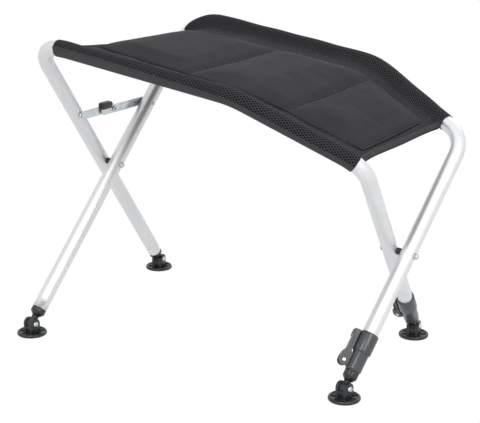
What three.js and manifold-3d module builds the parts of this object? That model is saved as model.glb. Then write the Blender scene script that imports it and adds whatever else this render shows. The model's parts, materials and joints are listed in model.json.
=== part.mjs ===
// Folding ottoman footstool: two bent tube frames crossed like scissors, with a fabric sling between
// their rails, a folding stay, swivel feet, and two legs that lengthen in quick clamps.
// Millimetres, +Z up. +X runs along the rails towards the legs that lengthen, and the near side is -Y.
import * as THREE from 'three';
import { mergeVertices } from 'three/addons/utils/BufferGeometryUtils.js';
import Module from 'manifold-3d';

const wasm = await Module();
wasm.setup();

// Angles that the whole stool follows
const openHalfAngle = THREE.MathUtils.degToRad(39.5);
const axisSlope = THREE.MathUtils.degToRad(6.5);
const leftLegLean = THREE.MathUtils.degToRad(0.4);
const rightLegLean = THREE.MathUtils.degToRad(1.4);
const quarterTurn = Math.PI / 2;

// Clearance between pieces, how far a cutting tool runs past a face, and the distance at which points merge
const fitGap = 0.3;
const cutOverrun = 2;
const mergeDistance = 0.0014;

// Frame tubes
const tubeDiameter = 22;
const tubeWall = 1.4;
const legSpan = 513;
const leftPivotHeight = 234;
const leftRailRise = 277;
const kinkAlong = 339;
const kinkRise = 269;
const rightRailRise = 189;
const leftCornerRadius = 56;
const rightCornerRadius = 44;
const kinkRadius = 90;
const crossingGap = 6.6;
const tubeSides = 18;
const cornerSteps = 5;
const kinkSteps = 4;
const stationGap = 1.4;

// Pivots where the tubes cross
const boltDiameter = 6;
const boltHeadDiameter = 11;
const boltHeadHeight = 3.2;
const spacerDiameter = 10;
const nutHeight = 5;
const roundSides = 16;
const smallSides = 12;

// Swivel feet
const discDiameter = 45;
const discEdge = 3;
const rimHeight = 5.5;
const rimWidth = 3.4;
const rimBevel = 1.6;
const discFloor = 3;
const discRibs = 6;
const discRibWidth = 1.8;
const discSides = 24;
const pinHeight = 17;
const earThickness = 5;
const earWidth = 17;
const eyeThickness = 7.4;
const eyeRadius = 7.4;
const pinDiameter = 5;
const screwHeadDiameter = 8.6;
const screwHeadHeight = 2.6;
const domeShare = 0.6;

// Plugs that close the left legs and carry the eye of the swivel
const plugCollarTop = 25.4;
const plugCollarLength = 8;
const plugConeLength = 5.4;
const plugFluteDepth = 0.7;
const plugFlutes = 8;
const fluteSides = 6;
const coneShare = 0.93;
const neckDiameter = 9;
const plugInsertLength = 18;

// Legs that lengthen: clamp housing, inner tube and its plug, distances up the leg from the foot's pin
const innerTubeWall = 1.2;
const innerTubeBelowBolt = 36;
const extensionPlugTop = 25;
const extensionCollarLength = 10;
const housingFoot = 25.4;
const housingStep = 52.4;
const housingTop = 81.6;
const housingLowerWall = 1.8;
const housingUpperWall = 2;
const housingBevel = 1.6;
const clampBossRadius = 7.6;
const clampBossWidth = 8.4;
const clampPinOut = 18;
const clampPinUp = 33;
const clampPinDiameter = 4;
const clampSlit = 1.6;
const clampSlitTop = 47;
const nearClampTurn = THREE.MathUtils.degToRad(33);
const farClampTurn = THREE.MathUtils.degToRad(4);

// Clamp lever
const leverTop = 80;
const leverCheek = 2;
const leverBack = 15.4;
const leverRootBack = 12.4;
const leverThickness = 6.4;
const leverHeadLength = 12;
const leverHeadProud = 1.8;
const leverRootRadius = 7.2;
const leverRecessDepth = 1.2;
const leverRecessWidth = 2.4;

// Folding stay across the left end
const stayRise = 112;
const barThickness = 2;
const barHeight = 13;
const rivetDiameter = 4.8;
const rivetHeadDiameter = 8.4;
const rivetHeadHeight = 1.6;
const stayTail = 30;
const washerDiameter = 9;
const knobLength = 22;
const knobWidth = 10;
const knobHeight = 9.6;
const knobBack = 25;
const knobRise = 9.6;

// Sling, pad, sleeves and end bindings
const sleeveGap = 0.5;
const sleeveWall = 1.3;
const slingInsetLeft = 32;
const slingInsetRight = 18;
const slingThickness = 2.6;
const slingSag = 5;
const slingSideGap = 1.6;
const slingDrop = 3;
const padEdgeLeft = 62;
const padEdgeRight = 42;
const padEndInsetLeft = 8;
const padEndInsetRight = 14;
const padThickness = 11;
const padRim = 2.4;
const padSeatGap = 0.8;
const channelDepth = 5;
const channelWidth = 10;
const firstChannelShare = 0.335;
const secondChannelShare = 0.665;
const bindingWidth = 9;
const bindingHeight = 7;
const bindingSideGap = 0.8;
const slingSteps = 16;
const slingAcrossSteps = 10;
const padSteps = 16;
const padAcrossSteps = 12;

// Colours and finishes
const aluminium = () => new THREE.MeshStandardMaterial({ color: 0xc9cbce, roughness: 0.38, metalness: 0.9 });
const zinc = () => new THREE.MeshStandardMaterial({ color: 0xb9c4c6, roughness: 0.3, metalness: 0.9 });
const blackPlastic = () => new THREE.MeshStandardMaterial({ color: 0x1d1e20, roughness: 0.55, metalness: 0 });
const greyPlastic = () => new THREE.MeshStandardMaterial({ color: 0x3a3d41, roughness: 0.45, metalness: 0 });
const charcoalMesh = () => new THREE.MeshStandardMaterial({ color: 0x35373b, roughness: 0.95, metalness: 0 });
const charcoalBand = () => new THREE.MeshStandardMaterial({ color: 0x3f4043, roughness: 0.8, metalness: 0 });

// Sizes worked out from the ones above
const tubeRadius = tubeDiameter / 2;
const tubeBore = tubeRadius - tubeWall;
const legOffset = (tubeDiameter + crossingGap) / 2;
const innerTubeRadius = tubeBore - fitGap;
const innerTubeBore = innerTubeRadius - innerTubeWall;
const discRadius = discDiameter / 2;
const earInner = eyeThickness / 2 + fitGap;
const earOuter = earInner + earThickness;
const earRadius = earWidth / 2;
const stayShift = stayRise * Math.tan(leftLegLean);

// Solids from geometries, and back
function toSolid(geometry) {
  const plain = geometry.clone();
  plain.deleteAttribute('normal');
  plain.deleteAttribute('uv');
  const merged = mergeVertices(plain, mergeDistance);
  return new wasm.Manifold(new wasm.Mesh({
    numProp: 3,
    vertProperties: new Float32Array(merged.attributes.position.array),
    triVerts: new Uint32Array(merged.index.array),
  }));
}

function toGeometry(solid) {
  const mesh = solid.getMesh();
  const geometry = new THREE.BufferGeometry();
  geometry.setAttribute('position', new THREE.BufferAttribute(new Float32Array(mesh.vertProperties), 3));
  geometry.setIndex(new THREE.BufferAttribute(new Uint32Array(mesh.triVerts), 1));
  geometry.computeVertexNormals();
  return geometry;
}

function cut(base, ...tools) {
  return toGeometry(tools.reduce((solid, tool) => solid.subtract(toSolid(tool)), toSolid(base)));
}

function join(base, ...others) {
  return toGeometry(others.reduce((solid, other) => solid.add(toSolid(other)), toSolid(base)));
}

// Round rod along X between two places
function rodAlongX(radius, from, to, sides = roundSides) {
  const rod = new THREE.CylinderGeometry(radius, radius, to - from, sides);
  return rod.rotateZ(-quarterTurn).translate((from + to) / 2, 0, 0);
}

// Round rod along Y between two places
function rodAlongY(radius, from, to, sides = roundSides) {
  const rod = new THREE.CylinderGeometry(radius, radius, to - from, sides);
  return rod.translate(0, (from + to) / 2, 0);
}

function box(from, to) {
  const size = new THREE.Vector3().subVectors(to, from);
  const middle = new THREE.Vector3().addVectors(from, to).multiplyScalar(1 / 2);
  return new THREE.BoxGeometry(size.x, size.y, size.z).translate(middle.x, middle.y, middle.z);
}

const at = (x, y, z) => new THREE.Vector3(x, y, z);

// Turned piece about Z, from points of radius and height
function turned(points, sides = roundSides) {
  const profile = points.map(([radius, height]) => new THREE.Vector2(radius, height));
  return new THREE.LatheGeometry(profile, sides).rotateX(quarterTurn);
}

// Turned piece about X, with heights running along +X
function turnedAlongX(points, sides = roundSides) {
  return turned(points, sides).rotateY(quarterTurn);
}

function ringTube(outer, inner, from, to, sides = tubeSides) {
  return turned([[inner, from], [outer, from], [outer, to], [inner, to], [inner, from]], sides);
}

// Plate drawn in the YZ plane and extruded along X, centred on the middle
function plateAlongX(shape, from, to, curveSegments) {
  const plate = new THREE.ExtrudeGeometry(shape, { depth: to - from, bevelEnabled: false, curveSegments });
  const basis = new THREE.Matrix4().makeBasis(at(0, 1, 0), at(0, 0, 1), at(1, 0, 0));
  return plate.applyMatrix4(basis).translate(from, 0, 0);
}

function mesh(name, geometry, material) {
  const piece = new THREE.Mesh(geometry, material);
  piece.name = name;
  return piece;
}

// Path of straight runs and arcs in the XZ plane, with a station at each end of a run and along each arc
class FramePath extends THREE.Curve {
  constructor(corners, radii, steps) {
    super();
    this.stations = [];
    const last = corners.length - 1;
    corners.forEach((corner, i) => {
      if (i === 0 || i === last) {
        const other = corners[i === 0 ? 1 : last - 1];
        const ahead = i === 0 ? other.clone().sub(corner) : corner.clone().sub(other);
        this.stations.push({ point: corner, ahead: ahead.normalize() });
        return;
      }
      const before = corner.clone().sub(corners[i - 1]).normalize();
      const after = corners[i + 1].clone().sub(corner).normalize();
      const turn = before.angleTo(after);
      const reach = radii[i] * Math.tan(turn / 2);
      const start = corner.clone().addScaledVector(before, -reach);
      const inward = after.clone().addScaledVector(before, -before.dot(after)).normalize();
      for (let k = 0; k <= steps[i]; k++) {
        const angle = turn * k / steps[i];
        const point = start.clone()
          .addScaledVector(before, radii[i] * Math.sin(angle))
          .addScaledVector(inward, radii[i] * (1 - Math.cos(angle)));
        const ahead = before.clone().multiplyScalar(Math.cos(angle)).addScaledVector(inward, Math.sin(angle));
        this.stations.push({ point, ahead });
      }
    });
  }

  get steps() { return this.stations.length - 1; }

  getPointAt(share) { return this.stations[Math.round(share * this.steps)].point.clone(); }

  getTangentAt(share) { return this.stations[Math.round(share * this.steps)].ahead.clone(); }

  getSpacedPoints() { return this.stations.map((station) => station.point.clone()); }

  // The part of the path between two places along X
  between(fromX, toX) {
    const part = Object.create(FramePath.prototype);
    const all = this.stations;
    const edge = (x) => {
      const i = all.findIndex((station, k) => k > 0 && station.point.x >= x && all[k - 1].point.x < x);
      const share = (x - all[i - 1].point.x) / (all[i].point.x - all[i - 1].point.x);
      return {
        point: all[i - 1].point.clone().lerp(all[i].point, share),
        ahead: all[i - 1].ahead.clone().lerp(all[i].ahead, share).normalize(),
      };
    };
    const fits = (x) => x > fromX + stationGap && x < toX - stationGap;
    const middle = all.filter((station) => fits(station.point.x));
    part.stations = [edge(fromX), ...middle, edge(toX)];
    return part;
  }
}

function sweepRing(path, outer, inner, sides) {
  const section = new THREE.Shape().absarc(0, 0, outer, 0, 2 * Math.PI);
  section.holes.push(new THREE.Path().absarc(0, 0, inner, 0, 2 * Math.PI, true));
  return new THREE.ExtrudeGeometry(section, {
    steps: path.steps, extrudePath: path, bevelEnabled: false, curveSegments: sides / 2,
  });
}

// Groups: the pivot axis slopes down to the right, and each frame is turned about it
const footstool = new THREE.Group();
const axis = new THREE.Group();
axis.position.z = leftPivotHeight;
axis.rotation.y = axisSlope;
footstool.add(axis);

// side is -1 for the frame with the near rail and +1 for the frame with the far rail
function makeFrame(side) {
  const group = new THREE.Group();
  group.rotation.x = -side * openHalfAngle;
  axis.add(group);
  footstool.updateMatrixWorld(true);
  const frame = { side, group, word: side < 0 ? 'near' : 'far', shift: side * legOffset };
  frame.legs = {
    left: legOnFrame(frame, 'left', frame.shift, leftLegLean, plugCollarTop),
    right: legOnFrame(frame, 'right', legSpan + frame.shift, rightLegLean, housingStep),
  };
  return frame;
}

// A leg runs down its frame from the pivot axis until the foot's pin is at its height over the floor,
// and leans in the plane of the frame by a small angle
function legOnFrame(frame, end, x, lean, tubeEnd) {
  const start = at(x, 0, 0).applyMatrix4(frame.group.matrixWorld);
  const down = at(-Math.sin(lean), 0, -Math.cos(lean)).transformDirection(frame.group.matrixWorld);
  const pinDistance = (start.z - pinHeight) / -down.z;
  const pinWorld = start.addScaledVector(down, pinDistance);
  const pinLine = at(0, 0, 1).cross(down).normalize();
  if (pinLine.x < 0) pinLine.negate();
  const leg = new THREE.Group();
  leg.position.copy(alongLeg({ x, lean }, -pinDistance));
  leg.rotation.y = lean;
  frame.group.add(leg);
  const turnBack = leg.getWorldQuaternion(new THREE.Quaternion()).invert();
  const pinLineOnLeg = pinLine.clone().applyQuaternion(turnBack);
  const sideWord = frame.side < 0 ? 'far' : 'near';
  return {
    leg, x, lean, tubeEnd, pinDistance, pinWorld, pinLine,
    eyeTurn: Math.atan2(pinLineOnLeg.y, pinLineOnLeg.x),
    name: `${sideWord}_${end}`,
  };
}

// Place on a leg's centre line at a distance up it from the pivot axis
function alongLeg(leg, distance) {
  return at(leg.x + distance * Math.sin(leg.lean), 0, distance * Math.cos(leg.lean));
}

function framePath(frame) {
  const { left, right } = frame.legs;
  const corners = [
    alongLeg(left, left.tubeEnd - left.pinDistance),
    alongLeg(left, leftRailRise / Math.cos(left.lean)),
    at(kinkAlong + frame.shift, 0, kinkRise),
    alongLeg(right, rightRailRise / Math.cos(right.lean)),
    alongLeg(right, right.tubeEnd - right.pinDistance),
  ];
  const radii = [0, leftCornerRadius, kinkRadius, rightCornerRadius, 0];
  return new FramePath(corners, radii, [0, cornerSteps, kinkSteps, cornerSteps, 0]);
}

function addFrameTube(frame) {
  const tube = sweepRing(framePath(frame), tubeRadius, tubeBore, tubeSides);
  const reach = tubeRadius + cutOverrun;
  const hole = (radius, x, rise) => rodAlongX(radius, x - reach, x + reach).translate(0, 0, rise);
  const drilled = cut(tube,
    hole(boltDiameter / 2 + fitGap, frame.legs.left.x, 0),
    hole(boltDiameter / 2 + fitGap, frame.legs.right.x, 0),
    hole(rivetDiameter / 2 + fitGap, frame.legs.left.x + stayShift, stayRise));
  frame.group.add(mesh(`${frame.word}_frame`, drilled, aluminium()));
}

// Bolt, spacer and cap nut at one crossing, all fixed to the near frame
function addPivot(frame, end, x) {
  const tubeOut = legOffset + tubeRadius + fitGap;
  const headEdge = boltHeadHeight / 3;
  const bolt = turnedAlongX([
    [0, -tubeOut - boltHeadHeight], [boltHeadDiameter / 3, -tubeOut - boltHeadHeight],
    [boltHeadDiameter / 2, -tubeOut - headEdge], [boltHeadDiameter / 2, -tubeOut],
    [boltDiameter / 2, -tubeOut], [boltDiameter / 2, tubeOut + nutHeight / 2], [0, tubeOut + nutHeight / 2],
  ]);
  const nutShape = turnedAlongX([
    [boltDiameter / 2 + fitGap, tubeOut], [boltHeadDiameter / 2, tubeOut],
    [boltHeadDiameter / 2, tubeOut + nutHeight / 2], [boltHeadDiameter / 3, tubeOut + nutHeight],
    [0, tubeOut + nutHeight], [0, tubeOut + nutHeight / 2 + fitGap],
    [boltDiameter / 2 + fitGap, tubeOut + nutHeight / 2 + fitGap], [boltDiameter / 2 + fitGap, tubeOut],
  ]);
  const spacerEnd = crossingGap / 2 - fitGap;
  const spacer = ringTube(spacerDiameter / 2, boltDiameter / 2 + fitGap, -spacerEnd, spacerEnd, roundSides);
  const pieces = [
    mesh(`pivot_bolt_${end}`, bolt, zinc()),
    mesh(`pivot_nut_${end}`, nutShape, zinc()),
    mesh(`pivot_spacer_${end}`, spacer.rotateY(quarterTurn), blackPlastic()),
  ];
  pieces.forEach((piece) => {
    piece.position.x = x;
    frame.group.add(piece);
  });
}

// Eye of the swivel, a flat disc across the pin with its neck above
function eyeAndNeck(neckTop) {
  const eye = rodAlongX(eyeRadius, -eyeThickness / 2, eyeThickness / 2);
  const neck = turned([[0, 0], [neckDiameter / 2, 0], [neckDiameter / 2, neckTop], [0, neckTop]]);
  const flat = box(at(-eyeThickness / 2, -eyeRadius, 0), at(eyeThickness / 2, eyeRadius, neckTop));
  const within = toSolid(neck).intersect(toSolid(flat));
  return join(eye, toGeometry(within));
}

// Plug with a fluted collar, a cone down to the neck, and an insert up inside a tube
function plug(collarTop, collarLength, collarRadius, insertRadius, insertLength, turn) {
  const collarFoot = collarTop - collarLength;
  const coneFoot = collarFoot - plugConeLength;
  const body = turned([
    [0, coneFoot], [eyeThickness / 2, coneFoot],
    [collarRadius * coneShare, collarFoot], [collarRadius, collarFoot],
    [collarRadius, collarTop - fitGap], [insertRadius, collarTop - fitGap],
    [insertRadius, collarTop + insertLength], [0, collarTop + insertLength],
  ], 2 * plugFlutes);
  const flutes = [];
  for (let k = 0; k < plugFlutes; k++) {
    const angle = 2 * Math.PI * (k + 1 / 2) / plugFlutes;
    const flute = turned([
      [0, collarFoot - fitGap], [plugFluteDepth, collarFoot - fitGap],
      [plugFluteDepth, collarTop - plugFluteDepth], [0, collarTop - plugFluteDepth],
    ], fluteSides);
    flutes.push(flute.translate(collarRadius * Math.cos(angle), collarRadius * Math.sin(angle), 0));
  }
  const eye = eyeAndNeck(coneFoot + fitGap);
  const bore = rodAlongX(pinDiameter / 2 + fitGap, -collarRadius, collarRadius);
  return cut(join(cut(body, ...flutes), eye), bore).rotateZ(turn);
}

// Foot: a dished disc with a raised rim and radial ribs, and two ears that hold the pin
function footGeometry() {
  const disc = turned([
    [0, 0], [discRadius - rimBevel / 2, 0], [discRadius, rimBevel / 2], [discRadius, discEdge],
    [discRadius - rimBevel, rimHeight], [discRadius - rimWidth, rimHeight],
    [discRadius - rimWidth - rimBevel / 2, discFloor], [0, discFloor],
  ], discSides);
  const earShape = new THREE.Shape();
  earShape.moveTo(-earRadius, discFloor / 2);
  earShape.lineTo(earRadius, discFloor / 2);
  earShape.lineTo(earRadius, pinHeight);
  earShape.absarc(0, pinHeight, earRadius, 0, Math.PI);
  earShape.lineTo(-earRadius, discFloor / 2);
  const ears = [-1, 1].map((side) => {
    const from = side < 0 ? -earOuter : earInner;
    return plateAlongX(earShape, from, from + earThickness, roundSides / 2);
  });
  const saddleTop = pinHeight - eyeRadius - fitGap - fitGap;
  const saddle = box(at(-earOuter, -earRadius, discFloor / 2), at(earOuter, earRadius, saddleTop));
  const ribs = [];
  for (let k = 0; k < discRibs; k++) {
    const rib = box(at(earRadius, -discRibWidth / 2, discFloor / 2),
      at(discRadius - rimWidth, discRibWidth / 2, rimHeight - rimBevel / 2));
    ribs.push(rib.rotateZ(2 * Math.PI * (k + 1 / 2) / discRibs));
  }
  const pinHole = rodAlongX(pinDiameter / 2 + fitGap, -earOuter - cutOverrun, earOuter + cutOverrun);
  return cut(join(disc, saddle, ...ears, ...ribs), pinHole.translate(0, 0, pinHeight));
}

// Screw through the ears: domed head on the right, peened end on the left
function footScrewGeometry() {
  const face = earOuter + fitGap;
  const half = screwHeadDiameter / 2;
  const end = screwHeadHeight / 2;
  return turnedAlongX([
    [0, -face - end], [half - end, -face - end], [half - end / 2, -face], [pinDiameter / 2, -face],
    [pinDiameter / 2, face], [half, face], [half, face + end / 2],
    [half * domeShare, face + screwHeadHeight], [0, face + screwHeadHeight],
  ], smallSides);
}

function addFoot(spot) {
  const group = new THREE.Group();
  group.position.set(spot.pinWorld.x, spot.pinWorld.y, 0);
  group.rotation.z = Math.atan2(spot.pinLine.y, spot.pinLine.x);
  footstool.add(group);
  group.add(mesh(`foot_${spot.name}`, footGeometry(), blackPlastic()));
  const screw = mesh(`foot_screw_${spot.name}`, footScrewGeometry(), zinc());
  screw.position.z = pinHeight;
  group.add(screw);
}

function addLeftPlug(spot) {
  const insert = tubeBore - fitGap;
  const geometry = plug(plugCollarTop, plugCollarLength, tubeRadius, insert, plugInsertLength, spot.eyeTurn);
  spot.leg.add(mesh(`leg_plug_${spot.name}`, geometry, blackPlastic()));
}

// Clamp housing: it grips the frame tube above its step and the inner tube below it
function housingGeometry() {
  const lowBore = innerTubeRadius + fitGap;
  const highBore = tubeRadius + fitGap;
  const low = lowBore + housingLowerWall;
  const high = highBore + housingUpperWall;
  const body = turned([
    [lowBore, housingFoot], [low - housingBevel / 2, housingFoot], [low, housingFoot + housingBevel],
    [low, housingStep - housingBevel], [high, housingStep + housingBevel / 2],
    [high, housingTop - housingBevel], [high - housingBevel / 2, housingTop], [highBore, housingTop],
    [highBore, housingStep - fitGap], [lowBore, housingStep - fitGap], [lowBore, housingFoot],
  ], tubeSides);
  const bossShape = new THREE.Shape();
  bossShape.absarc(clampPinOut, clampPinUp, clampBossRadius, -quarterTurn, quarterTurn);
  bossShape.lineTo((lowBore + low) / 2, clampPinUp + clampBossRadius);
  bossShape.lineTo((lowBore + low) / 2, clampPinUp - clampBossRadius);
  const boss = alongLeverPlane(bossShape, clampBossWidth / 2);
  const bore = turned([
    [0, housingFoot - cutOverrun], [lowBore, housingFoot - cutOverrun],
    [lowBore, housingStep - cutOverrun], [0, housingStep - cutOverrun],
  ], tubeSides);
  const slit = box(at(-clampPinOut - clampBossRadius - cutOverrun, -clampSlit / 2, housingFoot - cutOverrun),
    at(0, clampSlit / 2, clampSlitTop));
  const pinHole = rodAlongY(clampPinDiameter / 2 + fitGap, -clampBossWidth, clampBossWidth);
  return cut(join(body, cut(boss, bore)), slit, pinHole.translate(-clampPinOut, 0, clampPinUp));
}

// Outline drawn as distance out from the leg and height, extruded both ways across the lever's plane;
// the lever lies on the -X side of the leg
function alongLeverPlane(shape, half) {
  const plate = new THREE.ExtrudeGeometry(shape, {
    depth: 2 * half, bevelEnabled: false, curveSegments: roundSides / 2,
  });
  const basis = new THREE.Matrix4().makeBasis(at(-1, 0, 0), at(0, 0, 1), at(0, 1, 0));
  return plate.applyMatrix4(basis).translate(0, -half, 0);
}

// Lever: a forked root round the boss, an arm up along the housing, and a thicker head to pull on
function leverGeometry() {
  const half = clampBossWidth / 2 + fitGap + leverCheek;
  const front = leverBack + leverThickness;
  const headFoot = leverTop - leverHeadLength;
  const outline = new THREE.Shape();
  outline.absarc(clampPinOut, clampPinUp, leverRootRadius, Math.PI, 2 * Math.PI);
  outline.lineTo(clampPinOut + leverRootRadius, clampPinUp + clampBossRadius);
  outline.lineTo(front, clampPinUp + 2 * clampBossRadius);
  outline.lineTo(front, headFoot);
  outline.lineTo(front + leverHeadProud, headFoot + leverHeadProud);
  outline.lineTo(front + leverHeadProud, leverTop - leverHeadProud);
  outline.lineTo(front, leverTop);
  outline.lineTo(leverBack, leverTop);
  outline.lineTo(leverBack, clampPinUp + 2 * clampBossRadius);
  outline.lineTo(leverRootBack, clampPinUp + clampBossRadius);
  const blank = alongLeverPlane(outline, half);
  const clear = clampBossWidth / 2 + fitGap;
  const fork = rodAlongY(clampBossRadius + 2 * fitGap, -clear, clear).translate(-clampPinOut, 0, clampPinUp);
  const open = box(at(-clampPinOut, -clear, clampPinUp - clampBossRadius - cutOverrun),
    at(0, clear, clampPinUp + clampBossRadius));
  const pinHole = rodAlongY(clampPinDiameter / 2 + fitGap, -half - cutOverrun, half + cutOverrun);
  const recesses = [-1, 1].map((side) => {
    const outer = half + cutOverrun;
    const inner = half - leverRecessDepth;
    const low = side < 0 ? -outer : inner;
    const high = side < 0 ? -inner : outer;
    const middle = leverBack + leverThickness / 2;
    return box(at(-middle - leverRecessWidth / 2, low, clampPinUp + 2 * clampBossRadius),
      at(-middle + leverRecessWidth / 2, high, headFoot - leverRecessWidth));
  });
  return cut(blank, fork, open, pinHole.translate(-clampPinOut, 0, clampPinUp), ...recesses);
}

function leverPinGeometry() {
  const half = clampBossWidth / 2 + fitGap + leverCheek + fitGap;
  const head = clampPinDiameter / 2 + 2 * fitGap;
  const points = [
    [0, -half - fitGap], [head, -half - fitGap], [head, -half], [clampPinDiameter / 2, -half],
    [clampPinDiameter / 2, half], [head, half], [head, half + fitGap], [0, half + fitGap],
  ];
  return turned(points, smallSides).rotateX(-quarterTurn);
}

function addLengtheningLeg(spot, clampTurn) {
  const innerTop = spot.pinDistance - innerTubeBelowBolt;
  const inner = ringTube(innerTubeRadius, innerTubeBore, extensionPlugTop, innerTop);
  spot.leg.add(mesh(`inner_tube_${spot.name}`, inner, aluminium()));
  const insert = innerTubeBore - fitGap;
  const bottom = plug(extensionPlugTop, extensionCollarLength, innerTubeRadius, insert,
    plugInsertLength, spot.eyeTurn);
  spot.leg.add(mesh(`extension_plug_${spot.name}`, bottom, blackPlastic()));
  const clamp = new THREE.Group();
  clamp.rotation.z = clampTurn;
  spot.leg.add(clamp);
  clamp.add(mesh(`clamp_housing_${spot.name}`, housingGeometry(), greyPlastic()));
  clamp.add(mesh(`clamp_lever_${spot.name}`, leverGeometry(), greyPlastic()));
  const pin = mesh(`clamp_pin_${spot.name}`, leverPinGeometry(), zinc());
  pin.position.set(-clampPinOut, 0, clampPinUp);
  clamp.add(pin);
}

// Flat bar in the YZ plane from an eye at the origin to a second eye, with a round end past it
function barGeometry(reach, tail) {
  const half = barHeight / 2;
  const far = reach + tail;
  const shape = new THREE.Shape();
  shape.moveTo(0, -half);
  shape.lineTo(far - half, -half);
  shape.absarc(far - half, 0, half, -quarterTurn, quarterTurn);
  shape.lineTo(0, half);
  shape.absarc(0, 0, half, quarterTurn, 3 * quarterTurn);
  [0, reach].forEach((place) => {
    shape.holes.push(new THREE.Path().absarc(place, 0, rivetDiameter / 2 + fitGap, 0, 2 * Math.PI, true));
  });
  return plateAlongX(shape, -barThickness / 2, barThickness / 2, roundSides / 2);
}

function headedRod(radius, from, to, headRadius, headHeight) {
  const edge = headHeight / 2;
  return turnedAlongX([
    [0, from - headHeight], [headRadius * domeShare, from - headHeight], [headRadius, from - edge],
    [headRadius, from], [radius, from], [radius, to], [0, to],
  ], smallSides);
}

// Stay: two flat bars from the frames' left legs that meet at a centre rivet under the knob
function addStay(frames) {
  const barSeat = crossingGap / 2 - fitGap;
  const reach = stayRise * Math.sin(openHalfAngle);
  const height = stayRise * Math.cos(openHalfAngle);
  const headRadius = rivetHeadDiameter / 2;
  const tubeOut = legOffset + tubeRadius + fitGap;
  frames.forEach((frame) => {
    const isNear = frame.side < 0;
    const geometry = barGeometry(reach, isNear ? barHeight / 2 : stayTail);
    if (!isNear) geometry.rotateZ(2 * quarterTurn);
    const bar = mesh(`stay_bar_${frame.word}`, geometry, zinc());
    const barX = stayShift + frame.side * (barSeat - barThickness / 2);
    bar.position.set(barX, frame.side * reach, height);
    axis.add(bar);
    const inner = barSeat - barThickness - fitGap;
    const thin = inner - fitGap / 2;
    const rivet = join(
      headedRod(rivetDiameter / 2, -tubeOut, -inner, headRadius, rivetHeadHeight),
      rodAlongX(headRadius - thin, -inner, -inner + thin, smallSides));
    if (!isNear) rivet.rotateZ(2 * quarterTurn);
    const piece = mesh(`stay_rivet_${frame.word}`, rivet, zinc());
    piece.position.set(stayShift, 0, stayRise);
    frame.group.add(piece);
  });
  const gapHalf = barSeat - barThickness - fitGap;
  const washer = ringTube(washerDiameter / 2, rivetDiameter / 2 + fitGap, -gapHalf, gapHalf, roundSides);
  const centre = headedRod(rivetDiameter / 2, -barSeat - fitGap, gapHalf, headRadius, rivetHeadHeight);
  const pieces = [
    mesh('stay_washer', washer.rotateY(quarterTurn), zinc()),
    mesh('stay_centre_rivet', centre.rotateZ(2 * quarterTurn), zinc()),
    mesh('stay_knob', knobGeometry(barSeat + fitGap), blackPlastic()),
  ];
  pieces.forEach((piece) => {
    piece.position.set(stayShift, 0, height);
    axis.add(piece);
  });
}

// Knob: a grip with rounded ends and edges, fixed to the far bar's tail
function knobGeometry(seat) {
  const half = knobLength / 2;
  const shape = new THREE.Shape();
  shape.moveTo(-half, -knobHeight / 4);
  shape.quadraticCurveTo(-half, -knobHeight / 2, -half / 2, -knobHeight / 2);
  shape.lineTo(half / 2, -knobHeight / 2);
  shape.quadraticCurveTo(half, -knobHeight / 2, half, -knobHeight / 4);
  shape.lineTo(half, knobHeight / 4);
  shape.quadraticCurveTo(half, knobHeight / 2, half / 2, knobHeight / 2);
  shape.lineTo(-half / 2, knobHeight / 2);
  shape.quadraticCurveTo(-half, knobHeight / 2, -half, knobHeight / 4);
  const bevel = knobWidth / 6;
  const grip = new THREE.ExtrudeGeometry(shape, {
    depth: knobWidth - bevel, bevelThickness: bevel, bevelSize: bevel, bevelOffset: -bevel,
    bevelSegments: 2, curveSegments: 4,
  });
  const basis = new THREE.Matrix4().makeBasis(at(0, 1, 0), at(0, 0, 1), at(1, 0, 0));
  const solid = toSolid(grip.applyMatrix4(basis));
  const keep = box(at(0, -knobLength, -knobHeight), at(knobWidth, knobLength, knobHeight));
  return toGeometry(solid.intersect(toSolid(keep))).translate(seat, -knobBack, knobRise);
}

// Sleeve: fabric round the rail, along the same path as the tube
function addSleeve(frame) {
  const path = framePath(frame).between(slingInsetLeft, legSpan - slingInsetRight);
  const inner = tubeRadius + sleeveGap;
  const sleeve = sweepRing(path, inner + sleeveWall, inner, tubeSides);
  frame.group.add(mesh(`${frame.word}_sleeve`, sleeve, charcoalBand()));
}

// Rise of the rail's centre line over the pivot axis at a place along it, and its lean there
function railAt(x, frame) {
  const { stations } = framePath(frame).between(slingInsetLeft, legSpan - slingInsetRight);
  const i = Math.max(1, stations.findIndex((station) => station.point.x >= x));
  const run = stations[i].point.clone().sub(stations[i - 1].point);
  const lean = Math.atan2(run.z, run.x);
  return { rise: stations[i - 1].point.z + run.z * (x - stations[i - 1].point.x) / run.x, lean };
}

// Closed sheet over a grid: under and over give the heights of its two faces at shares along and across
function sheetGeometry(countAlong, countAcross, surface) {
  const positions = [];
  const index = [];
  const row = countAcross + 1;
  const layer = row * (countAlong + 1);
  [0, 1].forEach((face) => {
    for (let i = 0; i <= countAlong; i++) {
      for (let j = 0; j <= countAcross; j++) {
        positions.push(...surface(i / countAlong, j / countAcross, face));
      }
    }
  });
  const quad = (a, b, c, d) => index.push(a, b, c, a, c, d);
  for (let i = 0; i < countAlong; i++) {
    for (let j = 0; j < countAcross; j++) {
      const a = i * row + j;
      quad(a, a + 1, a + row + 1, a + row);
      quad(layer + a, layer + a + row, layer + a + row + 1, layer + a + 1);
    }
  }
  for (let i = 0; i < countAlong; i++) {
    const a = i * row;
    const b = a + countAcross;
    quad(a, a + row, layer + a + row, layer + a);
    quad(b, layer + b, layer + b + row, b + row);
  }
  const lastRow = countAlong * row;
  for (let j = 0; j < countAcross; j++) {
    quad(j, layer + j, layer + j + 1, j + 1);
    quad(lastRow + j, lastRow + j + 1, layer + lastRow + j + 1, layer + lastRow + j);
  }
  const geometry = new THREE.BufferGeometry();
  geometry.setAttribute('position', new THREE.BufferAttribute(new Float32Array(positions), 3));
  geometry.setIndex(index);
  geometry.computeVertexNormals();
  return geometry;
}

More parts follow.
